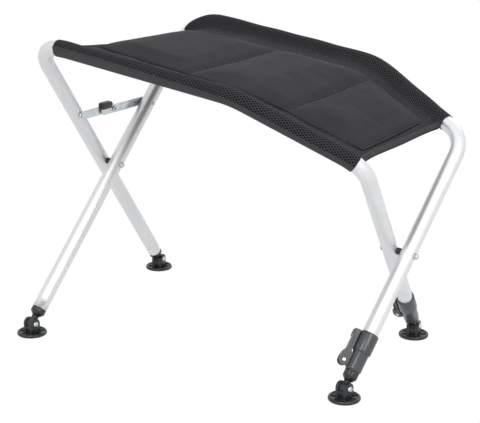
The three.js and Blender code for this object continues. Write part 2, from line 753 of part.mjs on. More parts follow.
// Cross-section of the seat at a place along, in the pivot axis' own frame: the centre of each rail,
// and how far the sling's edge stays from it to clear the sleeve
function seatSection(frames, x) {
  const sleeveRadius = tubeRadius + sleeveGap + sleeveWall;
  const [near, far] = frames.map((frame) => {
    const { rise, lean } = railAt(x, frame);
    const across = Math.hypot(Math.cos(openHalfAngle), Math.sin(openHalfAngle) * Math.cos(lean));
    return {
      y: frame.side * rise * Math.sin(openHalfAngle),
      z: rise * Math.cos(openHalfAngle),
      clear: sleeveRadius / across + slingSideGap,
    };
  });
  const heightAt = (y) => near.z + (far.z - near.z) * (y - near.y) / (far.y - near.y);
  return { near, far, heightAt };
}

// Height of the sling's middle surface below the rails' centres, as a share across from -1 to 1
const slingFall = (across) => slingDrop + slingSag * (1 - across * across);

// Places along the seat, closer together near each of the given centres
function placesAlong(from, to, steps, centres) {
  const places = [];
  for (let i = 0; i <= steps; i++) places.push(from + (to - from) * i / steps);
  centres.forEach((centre) => {
    [-1, -1 / 2, 0, 1 / 2, 1].forEach((step) => {
      const place = centre + step * channelWidth;
      if (place >= from && place <= to) places.push(place);
    });
  });
  places.sort((a, b) => a - b);
  return places.filter((place, i) => i === 0 || place - places[i - 1] > channelWidth / 4 || place === to);
}

function addSling(frames) {
  const from = slingInsetLeft + bindingWidth / 2 + fitGap;
  const to = legSpan - slingInsetRight - bindingWidth / 2 - fitGap;
  const places = placesAlong(from, to, slingSteps, [from, to]);
  const surface = (along, share, face) => {
    const x = places[Math.round(along * (places.length - 1))];
    const { near, far, heightAt } = seatSection(frames, x);
    const start = near.y + near.clear;
    const y = start + (far.y - far.clear - start) * share;
    return [x, y, heightAt(y) - slingFall(2 * share - 1) + (face - 1 / 2) * slingThickness];
  };
  axis.add(mesh('sling', sheetGeometry(places.length - 1, slingAcrossSteps, surface), charcoalMesh()));
}

// Dip of a sewn channel at a place along the pad
function channelDip(place, channel) {
  const away = Math.abs(place - channel) / channelWidth;
  return away < 1 ? (1 + Math.cos(Math.PI * away)) / 2 : 0;
}

// Pad: three padded panels between sewn channels, crowned, with its sides drawn in between the corners
function addPad(frames) {
  const from = slingInsetLeft + bindingWidth + padEndInsetLeft;
  const to = legSpan - slingInsetRight - bindingWidth - padEndInsetRight;
  const length = to - from;
  const channels = [firstChannelShare, secondChannelShare].map((share) => from + length * share);
  const places = placesAlong(from, to, padSteps, [from, ...channels, to]);
  const surface = (along, share, face) => {
    const x = places[Math.round(along * (places.length - 1))];
    const { near, far, heightAt } = seatSection(frames, x);
    const drawIn = channels.reduce((sum, channel) => sum + channelDip(x, channel), 0);
    const edge = padEdgeLeft + (padEdgeRight - padEdgeLeft) * (x - from) / length + drawIn * padRim / 2;
    const y = near.y + edge + (far.y - near.y - 2 * edge) * share;
    const across = 2 * share - 1;
    const slingShare = 2 * (y - near.y - near.clear) / (far.y - far.clear - near.y - near.clear) - 1;
    const under = heightAt(y) - slingFall(slingShare) + slingThickness / 2 + padSeatGap;
    const endShare = Math.min(1, (x - from) / channelWidth, (to - x) / channelWidth);
    const crown = Math.sqrt(1 - across ** 4) * Math.sqrt(Math.max(0, 1 - (1 - endShare) ** 2));
    const thickness = padRim + (padThickness - padRim) * crown - drawIn * channelDepth * crown;
    return [x, y, under + face * thickness];
  };
  axis.add(mesh('seat_pad', sheetGeometry(places.length - 1, padAcrossSteps, surface), charcoalMesh()));
}

// Binding: the folded tape that closes the sling at each end, from sleeve to sleeve
function addBinding(frames, end) {
  const start = end === 'left' ? slingInsetLeft : legSpan - slingInsetRight - bindingWidth;
  const middle = start + bindingWidth / 2;
  const slotFrom = end === 'left' ? middle : start - cutOverrun;
  const slotTo = end === 'left' ? start + bindingWidth + cutOverrun : middle;
  const strip = (from, to, height, reach) => (along, share, face) => {
    const x = from + (to - from) * along;
    const { near, far, heightAt } = seatSection(frames, x);
    const first = near.y + near.clear + bindingSideGap - reach;
    const last = far.y - far.clear - bindingSideGap + reach;
    const y = first + (last - first) * share;
    return [x, y, heightAt(y) - slingFall(2 * share - 1) + (face - 1 / 2) * height];
  };
  const tape = sheetGeometry(2, slingAcrossSteps, strip(start, start + bindingWidth, bindingHeight, 0));
  const slotHeight = slingThickness + 2 * fitGap;
  const slot = sheetGeometry(2, slingAcrossSteps, strip(slotFrom, slotTo, slotHeight, cutOverrun));
  axis.add(mesh(`end_binding_${end}`, cut(tape, slot), charcoalBand()));
}

const frames = [makeFrame(-1), makeFrame(1)];
frames.forEach((frame) => {
  addFrameTube(frame);
  addLeftPlug(frame.legs.left);
  addLengtheningLeg(frame.legs.right, frame.side < 0 ? farClampTurn : nearClampTurn);
  addFoot(frame.legs.left);
  addFoot(frame.legs.right);
  addSleeve(frame);
});
addPivot(frames[0], 'left', 0);
addPivot(frames[0], 'right', legSpan);
addStay(frames);
addSling(frames);
addPad(frames);
addBinding(frames, 'left');
addBinding(frames, 'right');

// Origin on the floor, under the middle of the whole stool
footstool.updateMatrixWorld(true);
const reach = new THREE.Box3().setFromObject(footstool, true);
const middle = reach.getCenter(new THREE.Vector3());
footstool.position.set(-middle.x, -middle.y, -reach.min.z);

export default footstool;
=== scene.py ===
# Looks for the folding ottoman footstool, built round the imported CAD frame.
# Lengths are millimetres until a mesh is made, which is in metres. Materials and UVs are in metres.
# A side is -1 (near) or 1 (far). The frame whose rail is near has the far feet, and the other way round.
import json
import math

import bmesh
import bpy
import numpy as np
from mathutils import Matrix, Vector


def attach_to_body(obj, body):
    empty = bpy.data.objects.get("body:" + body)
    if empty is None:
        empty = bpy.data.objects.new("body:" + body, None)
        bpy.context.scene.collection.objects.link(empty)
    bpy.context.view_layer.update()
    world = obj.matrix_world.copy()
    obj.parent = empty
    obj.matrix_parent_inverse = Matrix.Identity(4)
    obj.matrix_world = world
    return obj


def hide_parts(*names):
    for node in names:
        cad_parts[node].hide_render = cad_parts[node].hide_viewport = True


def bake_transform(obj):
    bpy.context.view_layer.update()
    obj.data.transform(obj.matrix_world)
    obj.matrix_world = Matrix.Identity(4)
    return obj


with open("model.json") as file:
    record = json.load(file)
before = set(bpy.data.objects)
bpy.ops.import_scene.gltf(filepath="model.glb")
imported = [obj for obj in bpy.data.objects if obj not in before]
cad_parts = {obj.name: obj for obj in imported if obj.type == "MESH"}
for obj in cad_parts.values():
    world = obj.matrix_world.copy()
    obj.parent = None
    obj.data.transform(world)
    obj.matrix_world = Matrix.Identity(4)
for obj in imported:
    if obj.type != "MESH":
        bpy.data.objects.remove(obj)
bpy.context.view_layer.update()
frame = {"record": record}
joints = {joint["name"]: joint for joint in frame["record"]["behaviour"]["joints"]}

MM = 0.001

# Sizes of the CAD model that the looks follow
OPEN = math.radians(39.5)
SLOPE = math.radians(6.5)
TUBE_R, TUBE_BORE = 11.0, 9.6
INNER_R, INNER_BORE = 9.3, 8.1
LEG_OFFSET = 14.3
LEG_SPAN = 513.0
LEFT_RISE, RIGHT_RISE = 277.0, 189.0
KINK_ALONG, KINK_RISE = 339.0, 269.0
BEND_RADII = (56.0, 90.0, 44.0)
LEAN = {"left": math.radians(0.4), "right": math.radians(1.4)}
PIN_HEIGHT = 17.0
PLUG_TOP = 25.4
HOUSING_STEP, HOUSING_TOP = 52.4, 81.6
EXTENSION_TOP = 25.0
INNER_STOP = 36.0  # from the top of an inner tube to the pivot
CLAMP_TURN = {"far_right": math.radians(4), "near_right": math.radians(33)}
CLAMP_PIN = (18, 33)
STAY_RISE = 112.0
STAY_HALF = 6.5
OUTSIDE = LEG_OFFSET + TUBE_R + 0.3  # from the middle between the frames to the seat of a bolt's head

SIDES = (-1, 1)
WORD = {-1: "near", 1: "far"}
FOOT_WORD = {-1: "far", 1: "near"}
BODY = {-1: "near_frame", 1: "far_frame"}

pivot = Vector(joints["frame_fold"]["pos_m"]) * 1000
AXIS = Matrix.Translation(pivot) @ Matrix.Rotation(SLOPE, 4, "Y")
FRAME = {side: AXIS @ Matrix.Rotation(-side * OPEN, 4, "X") for side in SIDES}

# Directions of a plate's outline and of its thickness
PLAIN = ((1, 0, 0), (0, 1, 0), (0, 0, 1))
FACING_X = ((0, 1, 0), (0, 0, 1), (1, 0, 0))
ON_CLAMP = ((-1, 0, 0), (0, 0, 1), (0, 1, 0))


def along_leg(x, lean, distance):
    """A place on a leg's centre line in its frame, at a distance up it from the pivot axis."""
    return Vector((x + distance * math.sin(lean), 0, distance * math.cos(lean)))


def leg(side, end):
    """A leg's place along the axis, the distance to its foot's pin, and the matrices there."""
    x = (0 if end == "left" else LEG_SPAN) + side * LEG_OFFSET
    lean = LEAN[end]
    turn = FRAME[side].to_3x3() @ Matrix.Rotation(lean, 3, "Y")
    start = FRAME[side] @ Vector((x, 0, 0))
    down = turn @ Vector((0, 0, -1))
    reach = (start.z - PIN_HEIGHT) / -down.z
    pin = start + down * reach
    line = Vector((0, 0, 1)).cross(down).normalized()
    if line.x < 0:
        line.negate()
    on_leg = turn.inverted() @ line
    return {
        "x": x, "lean": lean, "reach": reach, "name": f"{FOOT_WORD[side]}_{end}",
        "matrix": (FRAME[side] @ Matrix.Translation(along_leg(x, lean, -reach))
                   @ Matrix.Rotation(lean, 4, "Y")),
        "eye": math.atan2(on_leg.y, on_leg.x),
        "foot": Matrix.Translation((pin.x, pin.y, 0)) @ Matrix.Rotation(math.atan2(line.y, line.x), 4, "Z"),
        "tube_end": PLUG_TOP if end == "left" else HOUSING_STEP,
    }


LEGS = {(side, end): leg(side, end) for side in SIDES for end in ("left", "right")}


def linked(name, data):
    obj = bpy.data.objects.new(name, data)
    bpy.context.scene.collection.objects.link(obj)
    return obj


# Camera
LENS = 104.684
CAMERA_PLACE = (1.09330, -1.65987, 0.76521)
YAW, PITCH, ROLL = -0.582192, 0.281503, 0.002064


def make_camera():
    """The photo's camera: its place, and its turn to the side, downwards and about its own line of sight."""
    forward = Vector((math.sin(YAW) * math.cos(PITCH), math.cos(YAW) * math.cos(PITCH), -math.sin(PITCH)))
    level = Vector((math.cos(YAW), -math.sin(YAW), 0))
    raised = level.cross(forward)
    right = level * math.cos(ROLL) + raised * math.sin(ROLL)
    up = raised * math.cos(ROLL) - level * math.sin(ROLL)
    data = bpy.data.cameras.new("camera")
    data.lens = LENS
    data.sensor_width = 36
    data.sensor_fit = "HORIZONTAL"
    data.clip_start = 0.05
    data.clip_end = 60
    camera = linked("camera", data)
    place = Matrix((right, up, -forward)).transposed().to_4x4()
    place.translation = CAMERA_PLACE
    camera.matrix_world = place
    bpy.context.scene.camera = camera


make_camera()


# Lines of points
def unit(vectors):
    return vectors / np.linalg.norm(vectors, axis=-1, keepdims=True)


def run_along(line):
    """The length along a line, up to each of its points."""
    return np.concatenate([[0], np.cumsum(np.linalg.norm(np.diff(line, axis=0), axis=1))])


def arc(x, y, radius, start, end, steps):
    angles = [math.radians(start + (end - start) * i / steps) for i in range(steps + 1)]
    return [(x + radius * math.cos(angle), y + radius * math.sin(angle)) for angle in angles]


def bezier(a, b, c, d, steps):
    """A curve's points after its first one."""
    return [a * (1 - t) ** 3 + 3 * b * t * (1 - t) ** 2 + 3 * c * t * t * (1 - t) + d * t ** 3
            for t in (k / steps for k in range(1, steps + 1))]


def ease(share):
    share = max(0.0, min(1.0, share))
    return share * share * (3 - 2 * share)


# Faces
def grid_faces(rows, cols, start=0, flip=False, wrap=False):
    faces = []
    for i in range(rows - 1):
        for j in range(cols if wrap else cols - 1):
            n = (j + 1) % cols
            below, above = start + i * cols, start + (i + 1) * cols
            quad = [below + j, below + n, above + n, above + j]
            faces.append(quad[::-1] if flip else quad)
    return faces


def shell_faces(rows, cols):
    """Two grids of points, one behind the other, and the rim between them."""
    layer = rows * cols
    rim = list(range(cols)) + [i * cols + cols - 1 for i in range(1, rows)]
    rim += [(rows - 1) * cols + j for j in range(cols - 2, -1, -1)]
    rim += [i * cols for i in range(rows - 2, 0, -1)]
    faces = grid_faces(rows, cols, 0, True) + grid_faces(rows, cols, layer)
    return faces + [(a, b, layer + b, layer + a) for a, b in zip(rim, rim[1:] + rim[:1])]


def rod_faces(rows, ring, start=0):
    """Rings of points with both ends closed."""
    last = start + (rows - 1) * ring
    ends = [list(range(start, start + ring))[::-1], list(range(last, last + ring))]
    return grid_faces(rows, ring, start, wrap=True) + ends


# Meshes
def put_uvs(mesh, uvs):
    """UVs in metres, from a pair in millimetres for each vertex."""
    layer = mesh.uv_layers.get("UVMap") or mesh.uv_layers.new(name="UVMap")
    index = np.zeros(len(mesh.loops), np.int64)
    mesh.loops.foreach_get("vertex_index", index)
    layer.data.foreach_set("uv", (np.asarray(uvs, float)[index] * MM).ravel())


def shade_smooth(mesh, sharp=None):
    """Smooth shading, but for edges that turn by more than sharp degrees."""
    mesh.polygons.foreach_set("use_smooth", [True] * len(mesh.polygons))
    if sharp:
        mesh.set_sharp_from_angle(angle=math.radians(sharp))


def make(name, verts, faces, matrix=None, uvs=None, sharp=None):
    """Mesh object from points in millimetres in matrix's frame. Its own origin stays at the scene's."""
    points = np.asarray(verts, float).reshape(-1, 3)
    if matrix is not None:
        m = np.array(matrix, float)
        points = points @ m[:3, :3].T + m[:3, 3]
    mesh = bpy.data.meshes.new(name)
    mesh.from_pydata((points * MM).tolist(), [], [tuple(int(i) for i in f) for f in faces])
    if uvs is not None:
        put_uvs(mesh, uvs)
    mesh.validate(clean_customdata=False)
    shade_smooth(mesh, sharp)
    return linked(name, mesh)


def bake(obj):
    """Puts the result of the modifiers into the mesh."""
    bpy.context.view_layer.update()
    graph = bpy.context.evaluated_depsgraph_get()
    mesh = bpy.data.meshes.new_from_object(
        obj.evaluated_get(graph), preserve_all_data_layers=True, depsgraph=graph)
    obj.modifiers.clear()
    obj.data = mesh


def fix_normals(obj, merge=False):
    bm = bmesh.new()
    bm.from_mesh(obj.data)
    if merge:
        bmesh.ops.remove_doubles(bm, verts=bm.verts, dist=1e-7)
    bmesh.ops.recalc_face_normals(bm, faces=bm.faces)
    bm.to_mesh(obj.data)
    bm.free()
    return obj


def rounded(obj, width, segments=2, limit=38):
    """Bevels the sharp edges, so that each one catches the light."""
    fix_normals(obj)
    bevel = obj.modifiers.new("bevel", "BEVEL")
    bevel.width = width * MM
    bevel.segments = segments
    bevel.limit_method = "ANGLE"
    bevel.angle_limit = math.radians(limit)
    bevel.use_clamp_overlap = True
    bake(obj)
    shade_smooth(obj.data, 50)


def joined(name, *objs):
    """One object from several."""
    bm = bmesh.new()
    for obj in objs:
        bm.from_mesh(obj.data)
    mesh = bpy.data.meshes.new(name)
    bm.to_mesh(mesh)
    bm.free()
    for obj in objs:
        bpy.data.objects.remove(obj)
    shade_smooth(mesh)
    return linked(name, mesh)


def carved(obj, *tools):
    """Cuts tools out of obj."""
    for tool in tools:
        fix_normals(tool)
        boolean = obj.modifiers.new("cut", "BOOLEAN")
        boolean.operation = "DIFFERENCE"
        boolean.solver = "EXACT"
        boolean.object = tool
    bake(obj)
    for tool in tools:
        bpy.data.objects.remove(tool)


def revolve(name, points, sides=64, matrix=None, radial=None, sharp=32):
    """Turned solid about local Z from (radius, height). radial changes a radius by height and angle."""
    verts, rings, faces = [], [], []
    for radius, height in points:
        if radius < 1e-6:
            rings.append([len(verts)] * sides)
            verts.append((0, 0, height))
            continue
        rings.append(range(len(verts), len(verts) + sides))
        for angle in (2 * math.pi * k / sides for k in range(sides)):
            r = radial(radius, height, angle) if radial else radius
            verts.append((r * math.cos(angle), r * math.sin(angle), height))
    for a, b in zip(rings, rings[1:]):
        for k in range(sides):
            n = (k + 1) % sides
            quad = [a[k], a[n], b[n], b[k]]
            clean = [v for i, v in enumerate(quad) if v != quad[i - 1]]
            if len(clean) > 2:
                faces.append(clean)
    obj = fix_normals(make(name, verts, faces, matrix), merge=True)
    shade_smooth(obj.data, sharp)
    return obj


def turned_x(name, points, matrix, sides=40):
    """Turned piece about local X, with heights running along +X."""
    return revolve(name, points, sides, matrix @ Matrix.Rotation(math.pi / 2, 4, "Y"))


def extrude(name, outline, low, high, basis, matrix=None, bevel=0.0, segments=2, holes=()):
    """Plate: an outline in the first two directions of basis, between two heights in the third."""
    a, b, c = (np.array(v, float) for v in basis)
    count = len(outline)
    verts = [a * p[0] + b * p[1] + c * h for h in (low, high) for p in outline]
    faces = [list(range(count))[::-1], [count + i for i in range(count)]]
    faces += [[i, (i + 1) % count, count + (i + 1) % count, count + i] for i in range(count)]
    obj = fix_normals(make(name, verts, faces, matrix, sharp=30))
    if holes:
        outlines = [arc(x, y, radius, 0, 360, 32)[:-1] for (x, y), radius in holes]
        carved(obj, *(extrude(name + "_tool", hole, low - 5, high + 5, basis, matrix) for hole in outlines))
    if bevel:
        rounded(obj, bevel, segments)
    return obj


def mirrored(name, outline, inside, outside, *rest):
    """The same plate on both sides of the outline's plane."""
    return [extrude(name, outline, low, high, *rest)
            for low, high in ((-outside, -inside), (inside, outside))]


def block(name, low, high, matrix):
    outline = [(low[0], low[1]), (high[0], low[1]), (high[0], high[1]), (low[0], high[1])]
    return extrude(name, outline, low[2], high[2], PLAIN, matrix)


def dome(radius, height, base, direction):
    """Rounded head from its edge to its crown."""
    angles = [math.pi / 2 * k / 5 for k in range(5)]
    points = [(radius * math.cos(angle), base + direction * height * math.sin(angle)) for angle in angles]
    return points + [(0, base + direction * height)]


def cross_slot(place, radius, matrix):
    """Two crossed cutters for a screw head on the +X side."""
    return [block(f"slot_{k}", (place - 0.9, -radius * 0.62, -0.55), (place + 3, radius * 0.62, 0.55),
                  matrix @ Matrix.Rotation(math.radians(20 + 90 * k), 4, "X")) for k in range(2)]


# Material helpers
def attach(tree, socket, value):
    """Links a socket to an output, or sets its value."""
    if isinstance(value, bpy.types.NodeSocket):
        tree.links.new(value, socket)
    else:
        socket.default_value = value


def node(tree, kind, inputs=None, **settings):
    made = tree.nodes.new(kind)
    for key, value in settings.items():
        setattr(made, key, value)
    for key, value in (inputs or {}).items():
        attach(tree, made.inputs[key], value)
    return made


def drive(tree, shader, **sockets):
    """Sets or links the shader's sockets by their names, with _ for a space."""
    for key, value in sockets.items():
        attach(tree, shader.inputs[key.replace("_", " ")], value)


def material(name, color, roughness, **sockets):
    mat = bpy.data.materials.new(name)
    mat.use_nodes = True
    tree = mat.node_tree
    shader = tree.nodes["Principled BSDF"]
    drive(tree, shader, Base_Color=(*color, 1), Roughness=roughness, **sockets)
    return mat, tree, shader


def coordinate(tree, kind):
    return node(tree, "ShaderNodeTexCoord").outputs[kind]


def scaled(tree, place, scale):
    return node(tree, "ShaderNodeMapping", {"Vector": place, "Scale": scale}).outputs["Vector"]


def math_node(tree, operation, *values):
    return node(tree, "ShaderNodeMath", dict(enumerate(values)), operation=operation).outputs[0]


def vector_node(tree, operation, *values, output="Vector"):
    return node(tree, "ShaderNodeVectorMath", dict(enumerate(values)), operation=operation).outputs[output]


def ranged(tree, value, low, high, to_low, to_high, curve="LINEAR"):
    inputs = {"Value": value, "From Min": low, "From Max": high, "To Min": to_low, "To Max": to_high}
    return node(tree, "ShaderNodeMapRange", inputs, interpolation_type=curve).outputs["Result"]


def mixed(tree, share, a, b):
    """A colour between two, each an output or three numbers."""
    a, b = (value if isinstance(value, bpy.types.NodeSocket) else (*value, 1) for value in (a, b))
    return node(tree, "ShaderNodeMix", {0: share, 6: a, 7: b}, data_type="RGBA").outputs[2]


def toned(tree, color, *shares):
    """A colour times the sum of two shares."""
    inputs = {0: color, 3: math_node(tree, "ADD", *shares)}
    return node(tree, "ShaderNodeVectorMath", inputs, operation="SCALE").outputs["Vector"]


def noise(tree, place, scale, detail=3.0, roughness=0.55):
    """Noise with one scale, or with one for each direction."""
    if isinstance(scale, tuple):
        place, scale = scaled(tree, place, scale), 1.0
    inputs = {"Vector": place, "Scale": scale, "Detail": detail, "Roughness": roughness}
    return node(tree, "ShaderNodeTexNoise", inputs).outputs["Fac"]


def bump(tree, shader, height, distance, strength):
    inputs = {"Height": height, "Distance": distance, "Strength": strength}
    drive(tree, shader, Normal=node(tree, "ShaderNodeBump", inputs).outputs["Normal"])


# Materials
def aluminium():
    """Drawn tube: fine lines along it, and a soft cloud in tone and gloss."""
    mat, tree, shader = material("satin_aluminium", (0.8, 0.805, 0.815), 0.4, Metallic=0.6)
    uv = coordinate(tree, "UV")
    draw = noise(tree, uv, (2600, 14, 1), 4.0)
    cloud = noise(tree, uv, (30, 12, 1))
    tone = mixed(tree, ranged(tree, cloud, 0.3, 0.7, 0.0, 1.0), (0.77, 0.777, 0.79), (0.83, 0.833, 0.84))
    rough = math_node(tree, "ADD", ranged(tree, draw, 0.25, 0.75, 0.36, 0.46),
                      ranged(tree, cloud, 0.3, 0.7, -0.03, 0.04))
    drive(tree, shader, Base_Color=tone, Roughness=rough)
    bump(tree, shader, draw, 0.00004, 0.35)
    return mat


def zinc():
    """Bright zinc plate with the bloom of its crystals."""
    mat, tree, shader = material("zinc_plate", (0.62, 0.66, 0.67), 0.3, Metallic=0.95)
    place = coordinate(tree, "Object")
    bloom = noise(tree, place, 90.0, 4.0, 0.6)
    streak = noise(tree, place, (60, 60, 700), 2.0)
    tone = mixed(tree, ranged(tree, bloom, 0.42, 0.68, 0.0, 1.0), (0.66, 0.69, 0.69), (0.52, 0.58, 0.63))
    drive(tree, shader, Base_Color=tone, Roughness=ranged(tree, streak, 0.3, 0.7, 0.24, 0.4))
    bump(tree, shader, streak, 0.00005, 0.3)
    return mat


def moulded(name, color, roughness, grain, tint):
    """Moulded plastic with a fine grain. tint is how much lighter its light parts are."""
    mat, tree, shader = material(name, color, roughness)
    place = coordinate(tree, "Object")
    fine = noise(tree, place, grain, 3.0, 0.6)
    light = ranged(tree, noise(tree, place, 60.0), 0.35, 0.7, 0.0, 1.0)
    drive(tree, shader, Base_Color=mixed(tree, light, color, tuple(c * tint for c in color)),
          Roughness=ranged(tree, fine, 0.3, 0.7, roughness - 0.06, roughness + 0.08))
    bump(tree, shader, fine, 0.00006, 0.5)
    return mat


ROW_GAP = 1.732  # between every other row of a staggered lattice, in pitches


def hole_lattice(tree, uv, pitch, radius, soft):
    """1 on the yarn and 0 in the holes of a staggered lattice, from UVs in metres."""
    base = scaled(tree, uv, (1 / pitch, 1 / (pitch * ROW_GAP), 1))
    distances = []
    for shift in ((0, 0, 0), (0.5, 0.5, 0)):
        part = vector_node(tree, "FRACTION", vector_node(tree, "ADD", base, shift))
        centred = vector_node(tree, "SUBTRACT", part, (0.5, 0.5, 0))
        real = vector_node(tree, "MULTIPLY", centred, (1, ROW_GAP, 0))
        distances.append(vector_node(tree, "LENGTH", real, output="Value"))
    near = math_node(tree, "MINIMUM", *distances)
    return ranged(tree, near, radius - soft, radius + soft, 0.0, 1.0, "SMOOTHSTEP")


def air_mesh(name, pitch, radius, soft, yarn, hole, relief):
    """Open mesh with round holes, painted on a closed sheet. Their colour, hole, is painted shade for the
    dark seen down through them. pitch and relief are in metres, radius and soft in pitches.
    """
    mat, tree, shader = material(name, yarn, 0.82, Sheen_Weight=0.05, Sheen_Roughness=0.5,
                                 Specular_IOR_Level=0.15)
    uv = coordinate(tree, "UV")
    waver = ranged(tree, noise(tree, uv, (140, 140, 1), 2.0), 0.3, 0.7, -0.00035, 0.00035)
    drift = node(tree, "ShaderNodeCombineXYZ", {"X": waver}).outputs[0]
    yarns = hole_lattice(tree, vector_node(tree, "ADD", uv, drift), pitch, radius, soft)
    fuzz = noise(tree, uv, (2400, 2400, 1))
    cloud = noise(tree, uv, (22, 22, 1))
    lit = toned(tree, yarn, ranged(tree, fuzz, 0.3, 0.7, 0.78, 1.18),
                ranged(tree, cloud, 0.3, 0.7, -0.1, 0.1))
    # Painted shade: the holes get the near-black hole colour for the dark seen through the mesh, while the
    # yarn between them keeps its own colour
    drive(tree, shader, Base_Color=mixed(tree, yarns, hole, lit))
    bump(tree, shader, math_node(tree, "MULTIPLY_ADD", fuzz, 0.35, yarns), relief, 0.8)
    return mat


def woven(name, color, pitch, roughness=0.72):
    """Close weave. pitch is in metres."""
    mat, tree, shader = material(name, color, roughness, Sheen_Weight=0.05, Sheen_Roughness=0.45,
                                 Specular_IOR_Level=0.2)
    uv = coordinate(tree, "UV")
    warp, weft = (node(tree, "ShaderNodeTexWave",
                       {"Vector": scaled(tree, uv, scale), "Scale": 0.32, "Distortion": 0.25},
                       bands_direction=way).outputs["Fac"]
                  for way, scale in (("X", (1 / pitch, 0, 0)), ("Y", (0, 1 / pitch, 0))))
    weave = math_node(tree, "MULTIPLY", warp, weft)
    fuzz = noise(tree, uv, (1500, 1500, 1), 2.0)
    cloud = noise(tree, uv, (30, 30, 1))
    lit = toned(tree, color, ranged(tree, weave, 0.0, 1.0, 0.8, 1.15),
                ranged(tree, cloud, 0.3, 0.7, -0.08, 0.08))
    drive(tree, shader, Base_Color=lit)
    bump(tree, shader, math_node(tree, "MULTIPLY_ADD", fuzz, 0.3, weave), 0.00012, 0.6)
    return mat


def thread():
    mat, tree, shader = material("sewing_thread", (0.03, 0.031, 0.034), 0.6, Sheen_Weight=0.3)
    inputs = {"Vector": coordinate(tree, "Object"), "Scale": 900.0, "Distortion": 1.0}
    twist = node(tree, "ShaderNodeTexWave", inputs).outputs["Fac"]
    drive(tree, shader, Base_Color=mixed(tree, twist, (0.02, 0.021, 0.023), (0.05, 0.051, 0.056)))
    bump(tree, shader, twist, 0.00005, 0.5)
    return mat


ALUMINIUM = aluminium()
ZINC = zinc()
BLACK = moulded("black_nylon", (0.016, 0.017, 0.019), 0.3, 1400.0, 1.5)
GREY = moulded("grey_nylon", (0.060, 0.065, 0.071), 0.25, 1200.0, 1.3)
LEVER = moulded("lever_nylon", (0.017, 0.018, 0.021), 0.3, 1200.0, 1.4)
KNOB = moulded("knob_plastic", (0.02, 0.017, 0.014), 0.34, 900.0, 1.6)
# Each air mesh's second colour is painted shade in its holes
STRIP = air_mesh("coarse_air_mesh", 0.0038, 0.37, 0.04, (0.056, 0.057, 0.061), (0.001, 0.001, 0.002), 0.0006)
PADDING = air_mesh("fine_air_mesh", 0.0028, 0.30, 0.05, (0.046, 0.047, 0.053), (0.004, 0.004, 0.005), 0.0003)
BAND = woven("smooth_band", (0.074, 0.075, 0.079), 0.0007)
TAPE = woven("binding_tape", (0.026, 0.027, 0.029), 0.0012, 0.66)
THREAD = thread()


def finish(obj, mat, body, slot, *nodes):
    """A piece's material, replaced nodes and body; slot is not used. Without a body its place is baked into
    its mesh.
    """
    obj.data.materials.clear()
    obj.data.materials.append(mat)
    if nodes:
        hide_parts(*nodes)
    if body:
        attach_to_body(obj, body)
    else:
        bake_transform(obj)


# Frame tubes
CORNER_STEPS, KINK_STEPS = 24, 12
STRAIGHT_STEP = 20


def stations(side):
    """Points and directions of a frame's centre line, in the frame's own X and Z."""
    def on_leg(spot, distance):
        place = along_leg(spot["x"], spot["lean"], distance)
        return np.array((place.x, place.z))

    left, right = LEGS[side, "left"], LEGS[side, "right"]
    corners = [
        on_leg(left, left["tube_end"] - left["reach"]), on_leg(left, LEFT_RISE / math.cos(left["lean"])),
        np.array((KINK_ALONG + side * LEG_OFFSET, KINK_RISE)),
        on_leg(right, RIGHT_RISE / math.cos(right["lean"])),
        on_leg(right, right["tube_end"] - right["reach"])]
    ways = unit(np.diff(corners, axis=0))
    bends = zip(corners[1:-1], ways, ways[1:], BEND_RADII, (CORNER_STEPS, KINK_STEPS, CORNER_STEPS))
    points, aheads = [corners[0]], [ways[0]]
    for corner, before, after, radius, steps in bends:
        turn = math.acos(float(before @ after))
        start = corner - before * radius * math.tan(turn / 2)
        inward = unit(after - before * float(before @ after))
        for angle in (turn * k / steps for k in range(steps + 1)):
            points.append(start + before * radius * math.sin(angle) + inward * radius * (1 - math.cos(angle)))
            aheads.append(before * math.cos(angle) + inward * math.sin(angle))
    return np.array(points + [corners[-1]]), np.array(aheads + [ways[-1]])


def tube_mesh(name, points, aheads, outer, inner, sides, matrix):
    """Ring swept along a line in X and Z. Its UVs run round the ring and along the line."""
    angles = np.linspace(0, 2 * math.pi, sides + 1)
    verts, uvs = [], []
    for radius in (outer, inner):
        for (x, z), (ax, az), along in zip(points, aheads, run_along(points)):
            for angle in angles:
                up = radius * math.cos(angle)
                verts.append((x - az * up, radius * math.sin(angle), z + ax * up))
                uvs.append((outer * angle, along))
    rows, cols = len(points), sides + 1
    layer, last = rows * cols, (rows - 1) * cols
    faces = grid_faces(rows, cols, 0, True) + grid_faces(rows, cols, layer)
    for j in range(sides):
        faces.append((j, layer + j, layer + j + 1, j + 1))
        faces.append((last + j, last + j + 1, layer + last + j + 1, layer + last + j))
    return make(name, verts, faces, matrix, uvs)


def add_frames():
    for side in SIDES:
        points, aheads = stations(side)
        dense, ways = [points[0]], [aheads[0]]
        for a, b, way_a, way_b in zip(points, points[1:], aheads, aheads[1:]):
            count = max(1, int(np.linalg.norm(b - a) / STRAIGHT_STEP))
            for share in (k / count for k in range(1, count + 1)):
                dense.append(a + (b - a) * share)
                ways.append(way_a + (way_b - way_a) * share)
        obj = tube_mesh(f"{WORD[side]}_tube", np.array(dense), unit(np.array(ways)), TUBE_R, TUBE_BORE, 56,
                        FRAME[side])
        finish(obj, ALUMINIUM, BODY[side], "tube_aluminium", f"{WORD[side]}_frame")


def add_inner_tubes():
    for side in SIDES:
        spot = LEGS[side, "right"]
        heights = np.linspace(EXTENSION_TOP, spot["reach"] - INNER_STOP, 13)
        points = [(0.0, height) for height in heights]
        obj = tube_mesh(f"inner_tube_{spot['name']}_look", points, [(0.0, 1.0)] * len(points),
                        INNER_R, INNER_BORE, 48, spot["matrix"])
        finish(obj, ALUMINIUM, f"extension_{spot['name']}", "tube_aluminium", f"inner_tube_{spot['name']}")


# Pivots
SPACER = [(3.3, -3), (4.4, -3), (5, -2.5), (5, -0.5), (4.6, 0), (5, 0.5), (5, 2.5), (4.4, 3),
          (3.3, 3), (3.3, -3)]


